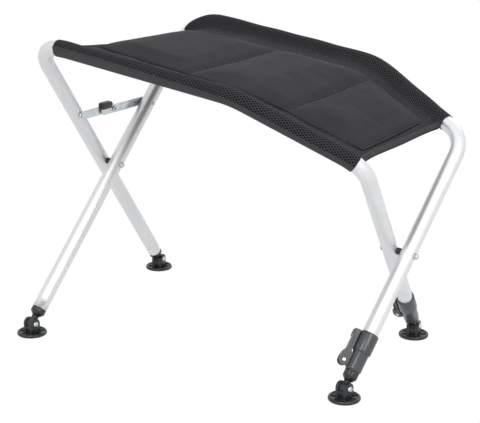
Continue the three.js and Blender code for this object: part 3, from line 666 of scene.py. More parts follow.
def add_pivots():
    for end, x in (("left", 0), ("right", LEG_SPAN)):
        place = FRAME[-1] @ Matrix.Translation((x, 0, 0))
        points = dome(5.5, 3.2, -OUTSIDE, -1)[::-1] + [(3, -OUTSIDE), (3, OUTSIDE + 2.5), (0, OUTSIDE + 2.5)]
        bolt = turned_x(f"bolt_{end}", points, place)
        socket = arc(0, 0, 2.1, 0, 360, 6)[:-1]
        carved(bolt, extrude("socket", socket, -OUTSIDE - 6, -OUTSIDE - 1.6, FACING_X, place))
        finish(bolt, ZINC, "near_frame", "zinc_steel", f"pivot_bolt_{end}")
        cap = [(3.3, OUTSIDE), (4.6, OUTSIDE), (4.6, OUTSIDE + 2.2)] + dome(3.8, 2.4, OUTSIDE + 2.2, 1)
        cap += [(0, OUTSIDE + 2.8), (3.3, OUTSIDE + 2.8), (3.3, OUTSIDE)]
        finish(turned_x(f"nut_{end}", cap, place), ZINC, "near_frame", "zinc_steel", f"pivot_nut_{end}")
        spacer = turned_x(f"spacer_{end}", SPACER, place, 48)
        finish(spacer, BLACK, "near_frame", "black_plastic", f"pivot_spacer_{end}")


# Feet and plugs
RIM = [(20.4, 0), (21.6, 0.3), (22.3, 1.1), (22.5, 2.2), (22.4, 3.4), (21.9, 4.5), (21, 5.2), (20, 5.5),
       (19.2, 5.3), (18.7, 4.7), (18.4, 3.8), (17.9, 3.2), (17, 3), (12.5, 3), (12, 3.1), (0, 3.1)]
SOLE_GROOVES = (8.5, 13.5)
FOOT_RIB = [(9.5, 2.8), (18.9, 2.8), (18.9, 4.5), (17.5, 4.3), (12, 4.6), (9.5, 6.4)]
RIBS = 8
EAR_R = 8.5
PIN_HOLE = 2.8
EYE_R = 7.3


def add_foot(side, end):
    spot = LEGS[side, end]
    place, body = spot["foot"], f"foot_{spot['name']}"
    sole = [(0, 0)]
    for inner in SOLE_GROOVES:
        sole += [(inner, 0), (inner + 0.4, 0.6), (inner + 1.6, 0.6), (inner + 2, 0)]
    disc = revolve("disc", sole + RIM, 112, place, None, 40)
    ear = [(-10.6, 2.8), (-9.2, 3.6), (-8.6, 5.2)] + arc(0, PIN_HEIGHT, EAR_R, 180, 0, 20)
    ear += [(8.6, 5.2), (9.2, 3.6), (10.6, 2.8)]
    parts = mirrored("ear", ear, 4.05, 8.95, FACING_X, place, 0.8, 3, [((0, PIN_HEIGHT), PIN_HOLE)])
    web = [(-3.2, 2.8), (3.2, 2.8), (2.2, 9.5), (-2.2, 9.5)]
    parts += mirrored("web", web, 8.6, 10.6, FACING_X, place, 0.5)
    saddle = [(-8, 2.6)] + arc(0, PIN_HEIGHT, 8.0, 200, 340, 16) + [(8, 2.6)]
    parts.append(extrude("saddle", saddle, -4.6, 4.6, FACING_X, place))
    for k in range(RIBS):
        turn = place @ Matrix.Rotation(2 * math.pi * (k + 0.5) / RIBS, 4, "Z")
        parts.append(extrude("rib", FOOT_RIB, -0.8, 0.8, ((1, 0, 0), (0, 0, 1), (0, -1, 0)), turn, 0.3))
    finish(joined(f"{body}_look", disc, *parts), BLACK, body, "black_plastic", body)
    pin = place @ Matrix.Translation((0, 0, PIN_HEIGHT))
    profile = dome(3.4, 1.1, -9.3, -1)[::-1] + [(2.5, -9.3), (2.5, 9.3), (4.3, 9.3)] + dome(4.3, 2.1, 9.8, 1)
    screw = turned_x(f"{body}_screw_look", profile, pin, 44)
    carved(screw, *cross_slot(11.6, 4.3, pin))
    finish(screw, ZINC, body, "zinc_steel", f"foot_screw_{spot['name']}")


def plug_object(name, spot, top, collar, collar_r, insert_r, grooves):
    """Fluted plug with the eye of the swivel. top is the height where the tube begins."""
    foot = top - collar
    cone = foot - 5.4

    def fluted(radius, height, angle):
        if foot - 0.2 < height < top - 0.9 and radius > insert_r + 0.2:
            return radius - 0.95 * (1 - (0.5 + 0.5 * math.cos(grooves * angle)) ** 0.35)
        return radius

    points = [(0, cone), (3.7, cone), (collar_r * 0.62, cone + 1.6), (collar_r * 0.9, foot - 0.4),
              (collar_r - 0.4, foot), (collar_r, foot + 0.7), (collar_r, (foot + top) / 2),
              (collar_r, top - 1.7), (collar_r, top - 0.9), (collar_r - 0.3, top - 0.4),
              (insert_r, top - 0.3), (insert_r, top + 14), (insert_r - 1, top + 18), (0, top + 18)]
    body = revolve("plug_body", points, 144, spot["matrix"], fluted, 34)
    turn = spot["matrix"] @ Matrix.Rotation(spot["eye"], 4, "Z")
    outline = arc(0, 0, EYE_R, 130, 410, 28) + [(4.4, cone + 0.8), (-4.4, cone + 0.8)]
    eye = extrude("eye", outline, -3.65, 3.65, FACING_X, turn, 0.9, 3, [((0, 0), PIN_HOLE)])
    return joined(name, body, eye)


def add_plugs():
    for side in SIDES:
        left, right = LEGS[side, "left"], LEGS[side, "right"]
        obj = plug_object(f"leg_plug_{left['name']}_look", left, PLUG_TOP, 8, 11, 9.2, 10)
        finish(obj, BLACK, BODY[side], "black_plastic", f"leg_plug_{left['name']}")
        obj = plug_object(f"extension_plug_{right['name']}_look", right, EXTENSION_TOP, 10, 10.4, 7.8, 8)
        finish(obj, BLACK, f"extension_{right['name']}", "black_plastic", f"extension_plug_{right['name']}")


# Clamps of the legs that lengthen. Radii and heights are from the foot's pin, up the leg.
LOW_R, HIGH_R = 11.4, 13.3
LOW_BORE, HIGH_BORE = 9.6, 11.3
HOUSING = [
    (LOW_BORE, 25.6), (LOW_R - 0.9, 25.5), (LOW_R - 0.2, 26.3), (LOW_R, 27.4), (LOW_R, 50.8),
    (LOW_R + 0.3, 51.6), (HIGH_R - 0.5, 53.0), (HIGH_R - 0.05, 53.9), (HIGH_R, 54.8), (HIGH_R, 79.2),
    (HIGH_R - 0.2, 80.4), (HIGH_R - 0.8, 81.3), (HIGH_R - 1.4, HOUSING_TOP), (HIGH_BORE, 81.5),
    (HIGH_BORE, 52.1), (LOW_BORE, 52.1), (LOW_BORE, 25.6)]
CLAMP_RIB = [(10.5, 26.5), (14.6, 26.5), (12.2, 47), (10.5, 47)]


def add_clamp(side):
    """Housing in two diameters with a slit boss, its lever and its pin."""
    spot = LEGS[side, "right"]
    name = spot["name"]
    place = spot["matrix"] @ Matrix.Rotation(CLAMP_TURN[name], 4, "Z")
    shell = revolve("housing", HOUSING, 96, place, None, 40)
    boss_line = arc(*CLAMP_PIN, 7.5, -90, 90, 18) + [(9.9, 40.5), (9.9, 25.6)]
    boss = extrude("boss", boss_line, -4.1, 4.1, ON_CLAMP, place, 0.6, 2, [(CLAMP_PIN, 2.3)])
    ribs = mirrored("rib", CLAMP_RIB, 3.3, 4.9, ON_CLAMP, place, 0.3)
    housing = joined(f"clamp_housing_{name}_look", shell, boss, *ribs)
    core = revolve("core", [(0, 20), (LOW_BORE, 20), (LOW_BORE, 52.2), (0, 52.2)], 64, place)
    carved(housing, core, block("slit", (-30, -0.8, 20), (0, 0.8, 47), place))
    shade_smooth(housing.data, 40)
    finish(housing, GREY, BODY[side], "grey_plastic", f"clamp_housing_{name}")
    add_lever(name, place)
    pin_x, pin_z = CLAMP_PIN
    pin_place = place @ Matrix.Translation((-pin_x, 0, pin_z)) @ Matrix.Rotation(-math.pi / 2, 4, "X")
    profile = dome(2.6, 0.6, -6.9, -1)[::-1] + [(2, -6.9), (2, 6.9)] + dome(2.6, 0.6, 6.9, 1)
    pin = revolve(f"clamp_pin_{name}_look", profile, 32, pin_place)
    finish(pin, ZINC, BODY[side], "zinc_steel", f"clamp_pin_{name}")


LEVER_BACK, LEVER_FRONT = 14.0, 21.0
LEVER_HALF = 6.5
FORK_HALF = 4.5
GRIP_HEIGHTS = (71.2, 73.4, 75.6)


def add_lever(name, place):
    """Cam lever: a forked root with its lobe, an arm with a recess in each side, and a thick head."""
    back, front = LEVER_BACK, LEVER_FRONT
    line = arc(*CLAMP_PIN, 7.2, 180, 360, 18)
    line += [(25.2, 36), (25.1, 40), (24.2, 44), (22.6, 47.2), (front, 50)]
    line += [(front, 66), (front + 0.4, 67.6), (front + 1.6, 69.4), (front + 1.8, 71), (front + 1.8, 77.2)]
    line += arc(front - 0.2, 77.2, 2.0, 0, 80, 5)
    line += [(back + 1, 79.8), (back, 79), (back, 49.4), (12.6, 46.6), (12.2, 40.6)]
    lever = extrude("lever", line, -LEVER_HALF, LEVER_HALF, ON_CLAMP, place)
    fork = extrude("fork", arc(*CLAMP_PIN, 8.2, 0, 360, 40)[:-1], -FORK_HALF, FORK_HALF, ON_CLAMP, place)
    carved(lever, fork, block("gap", (-CLAMP_PIN[0], -FORK_HALF, 23), (0, FORK_HALF, 40.6), place))
    slot = [(17.3, 50), (20.1, 49), (20.1, 63.5)] + arc(18.7, 64, 1.4, 0, 180, 8) + [(17.3, 63.5)]
    cuts = mirrored("recess", slot, 5.4, 9, ON_CLAMP, place)
    for z in GRIP_HEIGHTS:
        groove = [(front + 0.9, z), (front + 4, z), (front + 4, z + 0.9), (front + 0.9, z + 0.9)]
        cuts.append(extrude("grip", groove, -9, 9, ON_CLAMP, place))
    carved(lever, *cuts)
    rounded(lever, 0.55, 2, 42)
    lever.name = f"clamp_lever_{name}_look"
    finish(lever, LEVER, f"lever_{name}", "grey_plastic", f"clamp_lever_{name}")


# Folding stay
STAY_TAIL = {-1: STAY_HALF, 1: 30}
STAY_HOLE = 2.7
STAY_APART = 2  # from the middle of the stay to the middle of a bar
WASHER = [(2.7, -0.7), (4.3, -0.7), (4.5, -0.5), (4.5, 0.5), (4.3, 0.7), (2.7, 0.7), (2.7, -0.7)]
KNOB_CORNERS = ((-9.2, -2.2, 180), (9.2, -2.2, 270), (9.2, 2.2, 0), (-9.2, 2.2, 90))
KNOB_PLACE = (-29, 11.2)  # across from the middle, and up from the bars


def add_stay():
    reach = STAY_RISE * math.sin(OPEN)
    height = STAY_RISE * math.cos(OPEN)
    shift = STAY_RISE * math.tan(LEAN["left"])
    flips = {side: Matrix.Rotation(math.pi if side > 0 else 0, 4, "Z") for side in SIDES}
    for side, flip in flips.items():
        place = AXIS @ Matrix.Translation((shift + side * STAY_APART, side * reach, height)) @ flip
        outline = arc(0, 0, STAY_HALF, 90, 270, 18)
        outline += arc(reach + STAY_TAIL[side] - STAY_HALF, 0, STAY_HALF, -90, 90, 18)
        bar = extrude(f"stay_{WORD[side]}_look", outline, -1, 1, FACING_X, place, 0.35, 2,
                      [((0, 0), STAY_HOLE), ((reach, 0), STAY_HOLE)])
        finish(bar, ZINC, f"stay_{WORD[side]}", "zinc_steel", f"stay_bar_{WORD[side]}")
    for side, flip in flips.items():
        place = FRAME[side] @ Matrix.Translation((shift, 0, STAY_RISE)) @ flip
        points = dome(3.3, 1.3, -OUTSIDE, -1)[::-1]
        points += [(2.4, -OUTSIDE), (2.4, -0.7), (3.6, -0.7), (3.5, -0.25), (0, -0.15)]
        rivet = turned_x(f"stay_rivet_{WORD[side]}_look", points, place)
        finish(rivet, ZINC, BODY[side], "zinc_steel", f"stay_rivet_{WORD[side]}")
    centre = AXIS @ Matrix.Translation((shift, 0, height))
    finish(turned_x("stay_washer_look", WASHER, centre, 48), ZINC, "stay_far", "zinc_steel", "stay_washer")
    points = [(0, -0.7), (2.4, -0.7), (2.4, 3.3), (4.2, 3.3)] + dome(4.2, 1.1, 3.8, 1)
    rivet = turned_x("stay_centre_look", points, centre)
    carved(rivet, *cross_slot(4.7, 4.0, centre))
    finish(rivet, ZINC, "stay_far", "zinc_steel", "stay_centre_rivet")
    line = [point for x, y, start in KNOB_CORNERS for point in arc(x, y, 3.0, start, start + 90, 5)]
    place = AXIS @ Matrix.Translation((shift, KNOB_PLACE[0], height + KNOB_PLACE[1]))
    knob = extrude("stay_knob_look", line, 3.2, 12.6, FACING_X, place, 1.6, 4)
    finish(knob, KNOB, "stay_far", "black_plastic", "stay_knob")


# Seat fabric. Angles round a rail run in degrees from its frame's outward normal towards the seat.
INSET = {(-1, "left"): 32.0, (1, "left"): 21.0, (-1, "right"): 22.5, (1, "right"): 15.5}
SHEET = 1.0
BAND_THICK = 0.9
RING = 11.75  # radius of the mesh round the rail
SEAM_AT = ((110, 330), (-37.0, -59.5))  # the outer seam's angle at two places along the axis
LEAVE = 96.0  # where the mesh leaves the ring
BAND_END = -214.5
RAMP = 27.0  # across from a rail's centre to where the seat begins
ROWS = 94
RING_STEPS, RAMP_STEPS = 18, 8
FOOT = RING_STEPS + RAMP_STEPS  # column of the ramp's foot
MIDDLE = 44
SPLIT = 22  # column where the side covers end
BOUND = 20  # column where the bindings begin
BOW_LEFT, BOW_RIGHT = 4.0, 3.5
SLANT_ROWS, SLANT_OVER = 4.0, 16
RAIL_CLEAR = 14.4


def rail_line(side):
    """A rail's centre line in its frame's X and Z, at even steps between the fabric's ends."""
    points, _ = stations(side)
    along = points[:, 0]

    def cut(x):
        """The index of the first station beyond x, and the point at x."""
        i = next(i for i in range(1, len(points)) if along[i] >= x > along[i - 1])
        share = (x - along[i - 1]) / (along[i] - along[i - 1])
        return i, points[i - 1] + (points[i] - points[i - 1]) * share

    (start, first), (stop, last) = cut(INSET[side, "left"]), cut(LEG_SPAN - INSET[side, "right"])
    line = np.array([first, *points[start:stop], last])
    run = run_along(line)
    even = np.linspace(0, run[-1], ROWS)
    line = np.stack([np.interp(even, run, line[:, i]) for i in (0, 1)], axis=1)
    for _ in range(3):
        line[1:-1] = (line[:-2] + 2 * line[1:-1] + line[2:]) / 4
    return line, unit(np.gradient(line, axis=0))


RAILS = {side: rail_line(side) for side in SIDES}


def rail_height(side, x):
    line = RAILS[side][0]
    return np.interp(x, line[:, 0], line[:, 1])


def rail_y(side, x):
    return side * rail_height(side, x) * math.sin(OPEN)


def seam_angle(side, k):
    """The outer seam runs lower towards the right end."""
    return float(np.interp(RAILS[side][0][k][0], *SEAM_AT))


def ring_point(side, k, degrees, radius):
    """Point round the rail at station k, in the axis' coordinates.
    The far sleeve's left end is cut at a slant, so its outer side starts some stations further on."""
    if side > 0:
        outside = ease((LEAVE - degrees) / 76) * ease((degrees + 214) / 60)
        k += SLANT_ROWS * outside * max(0.0, 1 - k / SLANT_OVER)
    below = min(int(k), ROWS - 2)
    (x, z), (ax, az) = (rows[below] + (rows[below + 1] - rows[below]) * (k - below) for rows in RAILS[side])
    angle, turn = math.radians(degrees), -side * OPEN
    up = radius * math.cos(angle)
    y, z = -side * radius * math.sin(angle), z + ax * up
    cos, sin = math.cos(turn), math.sin(turn)
    return np.array((x - az * up, y * cos - z * sin, y * sin + z * cos))


def seat_height(x, y):
    """Height of the sling's middle surface. It hangs lower at the far left corner."""
    near_y, far_y = rail_y(-1, x), rail_y(1, x)
    near_z, far_z = (rail_height(side, x) * math.cos(OPEN) for side in SIDES)
    base = near_z + (far_z - near_z) * (y - near_y) / (far_y - near_y)
    across = np.clip(2 * (y - near_y - RAIL_CLEAR) / (far_y - near_y - 2 * RAIL_CLEAR) - 1, -1, 1)
    left = np.maximum(0.0, 1 - x / 150)
    right = np.maximum(0.0, (x - 400) / 110)
    low = 3 + left * (2.5 + 6.5 * across) - 2 * right
    return base - low - (5 - 2 * right) * (1 - across * across)


def half_section(side, k):
    """From the outer seam over the rail and down to the sling, at station k."""
    seam = seam_angle(side, k)
    points = [ring_point(side, k, seam + (LEAVE - seam) * i / RING_STEPS, RING)
              for i in range(RING_STEPS + 1)]
    way = unit(ring_point(side, k, LEAVE + 1, RING) - ring_point(side, k, LEAVE - 1, RING))
    x = RAILS[side][0][k][0]
    y = rail_y(side, x) - side * RAMP
    foot, beyond = (np.array((x, place, seat_height(x, place))) for place in (y, y - side * 4))
    last = points[-1]
    return points + bezier(last, last + way * 5.5, foot - unit(beyond - foot) * 8, foot, RAMP_STEPS)


def cover_row(k):
    """The mesh at station k, from the near seam over both rails to the far seam."""
    near, far = half_section(-1, k), half_section(1, k)
    run = k / (ROWS - 1)
    bow = BOW_LEFT * (1 - run) ** 5 - BOW_RIGHT * run ** 5
    inner = []
    for share in (i / MIDDLE for i in range(1, MIDDLE)):
        x, y, _ = near[-1] + (far[-1] - near[-1]) * share
        x += bow * (1 - (2 * share - 1) ** 4)
        inner.append(np.array((x, y, seat_height(x, y))))
    return near + inner + far[::-1]


cover = np.array([cover_row(k) for k in range(ROWS)])
COLS = cover.shape[1]


def column(side, j):
    """The cover's column j, counted from a side's seam."""
    return j if side < 0 else COLS - 1 - j


def grid_normals(grid):
    return unit(np.cross(np.gradient(grid, axis=0), np.gradient(grid, axis=1)))


def add_sheet(name, grid, normals, thickness, mat, body, slot, *nodes):
    """Closed sheet with a thickness, from a grid of points and its normals, with UVs by length."""
    rows, cols = grid.shape[:2]
    across, along = run_along(grid[rows // 2]), run_along(grid[:, cols // 2])
    verts = [(grid + normals * lift).reshape(-1, 3) for lift in (thickness / 2, -thickness / 2)]
    uvs = [(u, v) for v in along for u in across] * 2
    obj = fix_normals(make(name, np.concatenate(verts), shell_faces(rows, cols), AXIS, uvs))
    shade_smooth(obj.data, 60)
    finish(obj, mat, body, slot, *nodes)


# A stitch: places along it and its width there, as shares
STITCH = [(-0.5, 0.15), (-0.38, 0.75), (0, 1.0), (0.38, 0.75), (0.5, 0.15)]
STITCH_RING = 6


def sew(name, line, ups, slot, body=None, spacing=4.0, length=2.9, radius=0.38, lift=0.15):
    """Short rounded stitches at even steps along a line of points."""
    run = run_along(line)
    count = int(run[-1] / spacing)
    at = (np.arange(count) + 0.5) * run[-1] / count

    def spread(values, shift=0):
        return np.stack([np.interp(at + shift, run, values[:, i]) for i in range(3)], axis=1)

    ups = unit(spread(np.broadcast_to(ups, line.shape)))
    ways = unit(spread(line, 1) - spread(line, -1))
    angles = [2 * math.pi * k / STITCH_RING for k in range(STITCH_RING)]
    verts, faces = [], []
    for place, way, up in zip(spread(line) + ups * lift, ways, ups):
        side_way = unit(np.cross(up, way))
        rise = np.cross(way, side_way)
        faces += rod_faces(len(STITCH), STITCH_RING, len(verts))
        for share, width in STITCH:
            centre = place + way * share * length
            verts += [centre + (side_way * math.cos(angle) + rise * math.sin(angle)) * radius * width
                      for angle in angles]
    finish(make(name, verts, faces, AXIS), THREAD, body, slot)


def add_cover():
    """The sling and the tops of both sleeves, with a slight slack so that the strips aren't dead even."""
    k, j = np.arange(ROWS)[:, None], np.arange(COLS)[None, :]
    wave = 0.28 * np.sin(k * 0.47 + 0.8 * np.sin(j * 0.21)) + 0.2 * np.sin(k * 0.19 + j * 0.13 + 1.3)
    ends = np.minimum(1, np.minimum(k, ROWS - 1 - k) / 5.0)
    grid = cover + grid_normals(cover) * (wave * ends)[:, :, None]
    normals = grid_normals(grid)
    for name, first, last, body, sleeve in (
            ("side_cover_near", 0, SPLIT + 1, "near_frame", "near_sleeve"),
            ("side_cover_far", COLS - SPLIT - 1, COLS, "far_frame", "far_sleeve"),
            ("seat_sheet", SPLIT, COLS - SPLIT, None, "sling")):
        add_sheet(name, grid[:, first:last], normals[:, first:last], SHEET, STRIP, body,
                  "mesh_fabric", sleeve)
    return grid, normals


cover_grid, cover_normals = add_cover()


def beside_seam(side, turn, lift):
    """A line beside the outer seam, and the directions away from the rail along it."""
    line, centre = (np.array([ring_point(side, k, seam_angle(side, k) + turn, radius) for k in range(ROWS)])
                    for radius in (RING + lift, 0))
    return line, unit(line - centre)


BAND_STEPS = 26


def add_band(side):
    """Smooth band: from the outer seam under the rail, and up to the sheet's underside."""
    column_foot = column(side, FOOT)
    rows = []
    for k in range(ROWS):
        seam = seam_angle(side, k)
        points = [ring_point(side, k, seam + (BAND_END - seam) * i / BAND_STEPS,
                             RING + 0.35 - 0.35 * min(1, i / 3)) for i in range(BAND_STEPS + 1)]
        way = unit(ring_point(side, k, BAND_END - 1, RING) - ring_point(side, k, BAND_END + 1, RING))
        foot = cover_grid[k, column_foot] - cover_normals[k, column_foot] * 1.5
        inward = unit(cover_grid[k, column_foot - side] - cover_grid[k, column_foot])
        rows.append(points + bezier(points[-1], points[-1] + way * 4, foot - inward * 6, foot, 7))
    grid = np.array(rows)
    add_sheet(f"band_{WORD[side]}", grid, grid_normals(grid), BAND_THICK, BAND, BODY[side], "sleeve_fabric")
    add_ridge(side)
    for turn, tag in ((-6.5, "low"), (9.5, "high")):
        sew(f"seam_stitches_{tag}_{WORD[side]}", *beside_seam(side, turn, 0.85), "sleeve_fabric", BODY[side])
    loop = column(side, FOOT - 1)
    ups = cover_normals[:, loop]
    sew(f"loop_stitches_{WORD[side]}", cover_grid[:, loop] + ups * 0.75, ups, "mesh_fabric")


RIDGE_R = 0.75
RIDGE_RING = 8


def add_ridge(side):
    """Thin flattened ridge along the outer seam."""
    line, ups = beside_seam(side, 1.5, 0.95)
    verts, uvs = [], []
    for place, way, up, along in zip(line, unit(np.gradient(line, axis=0)), ups, run_along(line)):
        across = unit(np.cross(up, way))
        for angle in (2 * math.pi * k / RIDGE_RING for k in range(RIDGE_RING)):
            verts.append(place + (across * math.cos(angle) * 1.3 + up * math.sin(angle)) * RIDGE_R)
            uvs.append((RIDGE_R * angle, along))
    obj = fix_normals(make(f"seam_ridge_{WORD[side]}", verts, rod_faces(ROWS, RIDGE_RING), AXIS, uvs))
    finish(obj, BAND, BODY[side], "sleeve_fabric")


# Section of the folded tape: out from the sheet's end, and up
TAPE_TOP = [(-9, 1.1), (-8.7, 1.8), (-5.5, 2.1), (-1, 2.2), (0.5, 1.8), (1.3, 0.7)]
TAPE_SECTION = TAPE_TOP + [(out, -up) for out, up in TAPE_TOP[::-1]]


def add_binding(end):
    """Tape folded over the sheet's end, from rail to rail."""
    row, step = (0, 1) if end == "left" else (ROWS - 1, -1)
    span = slice(BOUND, COLS - BOUND)
    line, ups = cover_grid[row, span], cover_normals[row + step, span]
    outs = unit(line - cover_grid[row + step * 3, span])
    girth = run_along(TAPE_SECTION)
    verts, uvs = [], []
    for j, (place, out, up, along) in enumerate(zip(line, outs, ups, run_along(line)), BOUND):
        slack = 0.1 * math.sin(j * 0.9)
        for (reach, rise), round_it in zip(TAPE_SECTION, girth):
            verts.append(place + out * reach + up * (rise + math.copysign(slack, rise * slack)))
            uvs.append((round_it, along))
    obj = make(f"binding_{end}", verts, rod_faces(len(line), len(TAPE_SECTION)), AXIS, uvs)
    finish(fix_normals(obj), TAPE, None, "sleeve_fabric", f"end_binding_{end}")
    sew(f"binding_stitches_{end}", line - outs * 7.0 + ups * 2.0, ups, "sleeve_fabric", None, 3.6, 2.6, 0.36)


# Seat pad
PAD_FROM, PAD_TO = 50.0, 478.0
PAD_ROWS, PAD_COLS = 101, 61
PAD_RISE = 0.3  # over the sheet's top
PAD_RIM, PAD_CROWN = 1.1, 7.1
PAD_ROUND = 13  # how far from its ends the pad reaches its height
CHANNELS = [219.0, 375.5]
# How far the pad stays from a rail's centre, at places along it
PAD_EDGE = {-1: ((50, 250, 290, 320, 350, 375, 478), (62, 52, 46, 42, 43, 45.5, 42)),
            1: ((50, 478), (62, 42))}
CAP = 5.0
CLOTH = {
    "quality": 6, "mass": 0.25, "tension_stiffness": 18, "compression_stiffness": 12, "shear_stiffness": 8,
    "bending_stiffness": 1.2, "use_pressure": True, "uniform_pressure_force": 4.0,
    "vertex_group_mass": "held", "shrink_min": -0.012}
CLOTH_FRAMES = 20
UP = (0.0, 0.0, 1.0)


def pad_side(side, x, inset=0.0):
    """Where the pad's edge runs, or a line inside it."""
    return rail_y(side, x) - side * (np.interp(x, *PAD_EDGE[side]) + inset)


def sewn(x, width):
    return sum(np.exp(-((x - channel) / width) ** 2) for channel in CHANNELS)


def pad_layer(face):
    """The pad's underside (0) or its top (1) before it is inflated."""
    along, share = np.meshgrid(np.linspace(0, 1, PAD_ROWS), np.linspace(0, 1, PAD_COLS), indexing="ij")
    x = PAD_FROM + (PAD_TO - PAD_FROM) * along
    across = 2 * share - 1
    inset = 5 * abs(2 * along - 1) ** 18 + 1.5 * sewn(x, 9)
    near, far = (pad_side(side, x, inset) for side in SIDES)
    y = near + (far - near) * share
    end = np.minimum(1.0, np.minimum(x - PAD_FROM, PAD_TO - x) / PAD_ROUND)
    crown = np.maximum(0.0, 1 - across ** 4) ** 0.7 * np.sqrt(np.maximum(0.0, 1 - (1 - end) ** 2))
    thickness = PAD_RIM + PAD_CROWN * crown * (1 - 0.6 * np.minimum(1.0, sewn(x, 8)))
    under = seat_height(x, y) + SHEET / 2 + PAD_RISE
    return np.stack([x, y, under + face * thickness], axis=-1).reshape(-1, 3)


def axis_coordinates(obj):
    """The points of a mesh in the axis' own frame, in millimetres."""
    points = np.zeros(len(obj.data.vertices) * 3)
    obj.data.vertices.foreach_get("co", points)
    m = np.array(AXIS.inverted(), float)
    return points.reshape(-1, 3) * 1000 @ m[:3, :3].T + m[:3, 3]


def put_axis_coordinates(obj, points):
    m = np.array(AXIS, float)
    obj.data.vertices.foreach_set("co", ((points @ m[:3, :3].T + m[:3, 3]) * MM).ravel())
    obj.data.update()


def edge_distance(points):
    """How far each point lies inside the pad's outline, and how far from the nearer channel."""
    x, y = points[:, 0], points[:, 1]
    sides = np.minimum(y - pad_side(-1, x), pad_side(1, x) - y)
    ends = np.minimum(x - PAD_FROM, PAD_TO - x)
    return np.minimum(sides, ends), np.min([np.abs(x - channel) for channel in CHANNELS], axis=0)


def inflate(obj):
    """Cloth simulation with air inside. Border and channels are held, and no point moves more than CAP."""
    rest = axis_coordinates(obj)
    border, channel = edge_distance(rest)
    held = np.clip(1.2 - np.minimum(border - 3, channel) / 12, 0, 1)
    group = obj.vertex_groups.new(name="held")
    for i, weight in enumerate(held):
        if weight > 0.01:
            group.add([i], float(weight), "REPLACE")
    cloth = obj.modifiers.new("cloth", "CLOTH")
    for key, value in CLOTH.items():
        setattr(cloth.settings, key, value)
    cloth.settings.effector_weights.gravity = 0
    cloth.collision_settings.use_collision = False
    cloth.point_cache.frame_start = 1
    cloth.point_cache.frame_end = CLOTH_FRAMES
    for step in range(1, CLOTH_FRAMES + 1):
        bpy.context.scene.frame_set(step)
    bake(obj)
    bpy.context.scene.frame_set(1)
    obj.vertex_groups.clear()
    moved = (axis_coordinates(obj) - rest).reshape(2, PAD_ROWS, PAD_COLS, 3)
    for _ in range(8):
        moved[:, 1:-1] = (moved[:, :-2] + 2 * moved[:, 1:-1] + moved[:, 2:]) / 4
        moved[:, :, 1:-1] = (moved[:, :, :-2] + 2 * moved[:, :, 1:-1] + moved[:, :, 2:]) / 4
    moved = moved.reshape(-1, 3)
    size = np.linalg.norm(moved, axis=1)
    share = np.minimum(1, CAP / np.maximum(size, 1e-9))
    put_axis_coordinates(obj, rest + moved * share[:, None])


def add_pad():
    verts = np.concatenate([pad_layer(1), pad_layer(0)])
    pad = fix_normals(make("seat_padding", verts, shell_faces(PAD_ROWS, PAD_COLS), AXIS))
    inflate(pad)
    finer = pad.modifiers.new("finer", "SUBSURF")
    finer.levels = finer.render_levels = 1
    bake(pad)
    points = axis_coordinates(pad)
    border, channel = edge_distance(points)
    x, y = points[:, 0], points[:, 1]
    lowest = seat_height(x, y) + SHEET / 2 + 0.25
    top = np.clip((points[:, 2] - lowest) / 6, 0, 1)
    groove = np.exp(-(channel / 1.9) ** 2) * 2.2 + np.exp(-(channel / 6) ** 2) * 0.8
    pucker = np.exp(-channel / 9) * np.sin(y * 0.42 + 0.9 * np.sin(y * 0.11)) * 0.35
    side_pucker = np.exp(-np.maximum(border, 0) / 10) * np.sin(x * 0.38 + 1.1 * np.sin(x * 0.09)) * 0.3
    soft = 0.35 * np.sin(x * 0.045 + 0.4 * np.sin(y * 0.05)) * np.sin(y * 0.037 + 1)
    points[:, 2] += top * (-groove + pucker + side_pucker + soft)
    points[:, 2] = np.maximum(points[:, 2], lowest)
    put_axis_coordinates(pad, points)
    put_uvs(pad.data, points[:, [1, 0]])
    shade_smooth(pad.data)
    finish(pad, PADDING, None, "mesh_fabric", "seat_pad")
    upper = points[points[:, 2] > lowest + 0.6]
    for number, centre in enumerate(CHANNELS, 1):
        add_channel_stitches(number, centre, upper)


def add_channel_stitches(number, centre, points):
    """Stitches in a channel, at the height of the pad's nearest points."""
    near, far = (pad_side(side, centre, 6) for side in SIDES)
    chosen = points[np.abs(points[:, 0] - centre) < 3.2]
    line = []
    for y in np.linspace(near, far, 60):
        nearest = np.argsort(np.hypot(chosen[:, 0] - centre, chosen[:, 1] - y))[:4]
        line.append((centre, y, chosen[nearest, 2].mean()))
    line = np.array(line)
    line[1:-1, 2] = (line[:-2, 2] + line[1:-1, 2] + line[2:, 2]) / 3
    sew(f"channel_stitches_{number}", line, UP, "mesh_fabric", None, 3.8, 2.8, 0.42, 0.2)


def add_pad_border():
    """Stitches round the pad, on the sheet just outside it."""
    out = 2.0
    near, far = ([(x, pad_side(side, x, -out)) for x in np.linspace(PAD_FROM + out, PAD_TO - out, 61)]
                 for side in SIDES)

    def across(x, start, stop):
        return [(x, start + (stop - start) * share) for share in np.linspace(0, 1, 31)[1:-1]]

    line = near + across(PAD_TO + out, near[-1][1], pad_side(1, PAD_TO, -out)) + far[::-1]
    line += across(PAD_FROM - out, pad_side(1, PAD_FROM, -out), pad_side(-1, PAD_FROM, -out))
    x, y = np.array(line).T
    line = np.stack([x, y, seat_height(x, y) + SHEET / 2 + 0.2], axis=1)
    sew("pad_border_stitches", line, UP, "mesh_fabric", None, 3.8, 2.8, 0.38, 0.1)


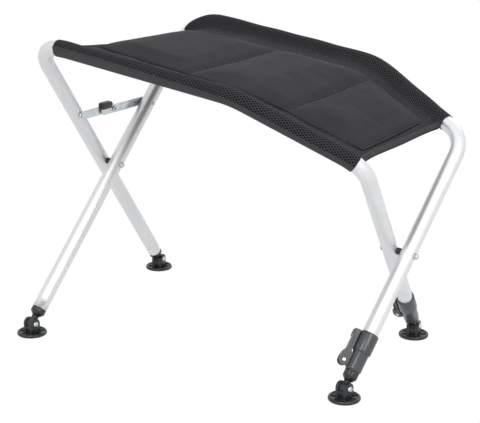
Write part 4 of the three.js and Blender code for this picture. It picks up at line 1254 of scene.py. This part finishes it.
# Floor, light and background
FLOOR_HALF = 30000
LAMPS = (  # name, place, size and power
    ("key", (0.6, -2.5, 2.2), 1.5, 31),
    ("fill", (1.5, -0.7, 1.2), 0.9, 10.5),
    ("back", (0.2, 2.3, 2.2), 1.6, 13),
)
LIT_SPOT = Vector((0, 0, 0.25))


def white_where_seen(owner, kind, inputs, white, output):
    """White to the camera, in reflections and through clear things, and the node of kind to other light."""
    owner.use_nodes = True
    tree = owner.node_tree
    tree.nodes.clear()
    path = node(tree, "ShaderNodeLightPath").outputs
    seen = math_node(tree, "MAXIMUM", path["Is Camera Ray"],
                     math_node(tree, "MAXIMUM", path["Is Glossy Ray"], path["Is Transmission Ray"]))
    plain = node(tree, kind, inputs).outputs[0]
    bright = node(tree, white, {"Color": (1, 1, 1, 1), "Strength": 1.0}).outputs[0]
    mix = node(tree, "ShaderNodeMixShader", {0: seen, 1: plain, 2: bright}).outputs[0]
    node(tree, output, {"Surface": mix})


def add_stage():
    corners = [(x * FLOOR_HALF, y * FLOOR_HALF, 0) for x, y in ((-1, -1), (1, -1), (1, 1), (-1, 1))]
    floor = make("floor", corners, [(0, 1, 2, 3)])
    mat = bpy.data.materials.new("white_floor")
    white_where_seen(mat, "ShaderNodeBsdfDiffuse", {"Color": (0.85, 0.85, 0.85, 1)}, "ShaderNodeEmission",
                     "ShaderNodeOutputMaterial")
    floor.data.materials.append(mat)
    world = bpy.data.worlds.new("world")
    bpy.context.scene.world = world
    white_where_seen(world, "ShaderNodeBackground", {"Color": (0.95, 0.97, 1, 1), "Strength": 0.37},
                     "ShaderNodeBackground", "ShaderNodeOutputWorld")
    for name, place, size, power in LAMPS:
        data = bpy.data.lights.new(name, "AREA")
        data.shape = "DISK"
        data.size = size
        data.energy = power
        lamp = linked(name, data)
        lamp.location = place
        lamp.rotation_euler = (LIT_SPOT - Vector(place)).to_track_quat("-Z", "Y").to_euler()
    bpy.context.scene.view_settings.view_transform = "Standard"


add_frames()
add_inner_tubes()
add_pivots()
for side in SIDES:
    for end in ("left", "right"):
        add_foot(side, end)
    add_clamp(side)
    add_band(side)
add_plugs()
add_stay()
add_binding("left")
add_binding("right")
add_pad()
add_pad_border()
add_stage()
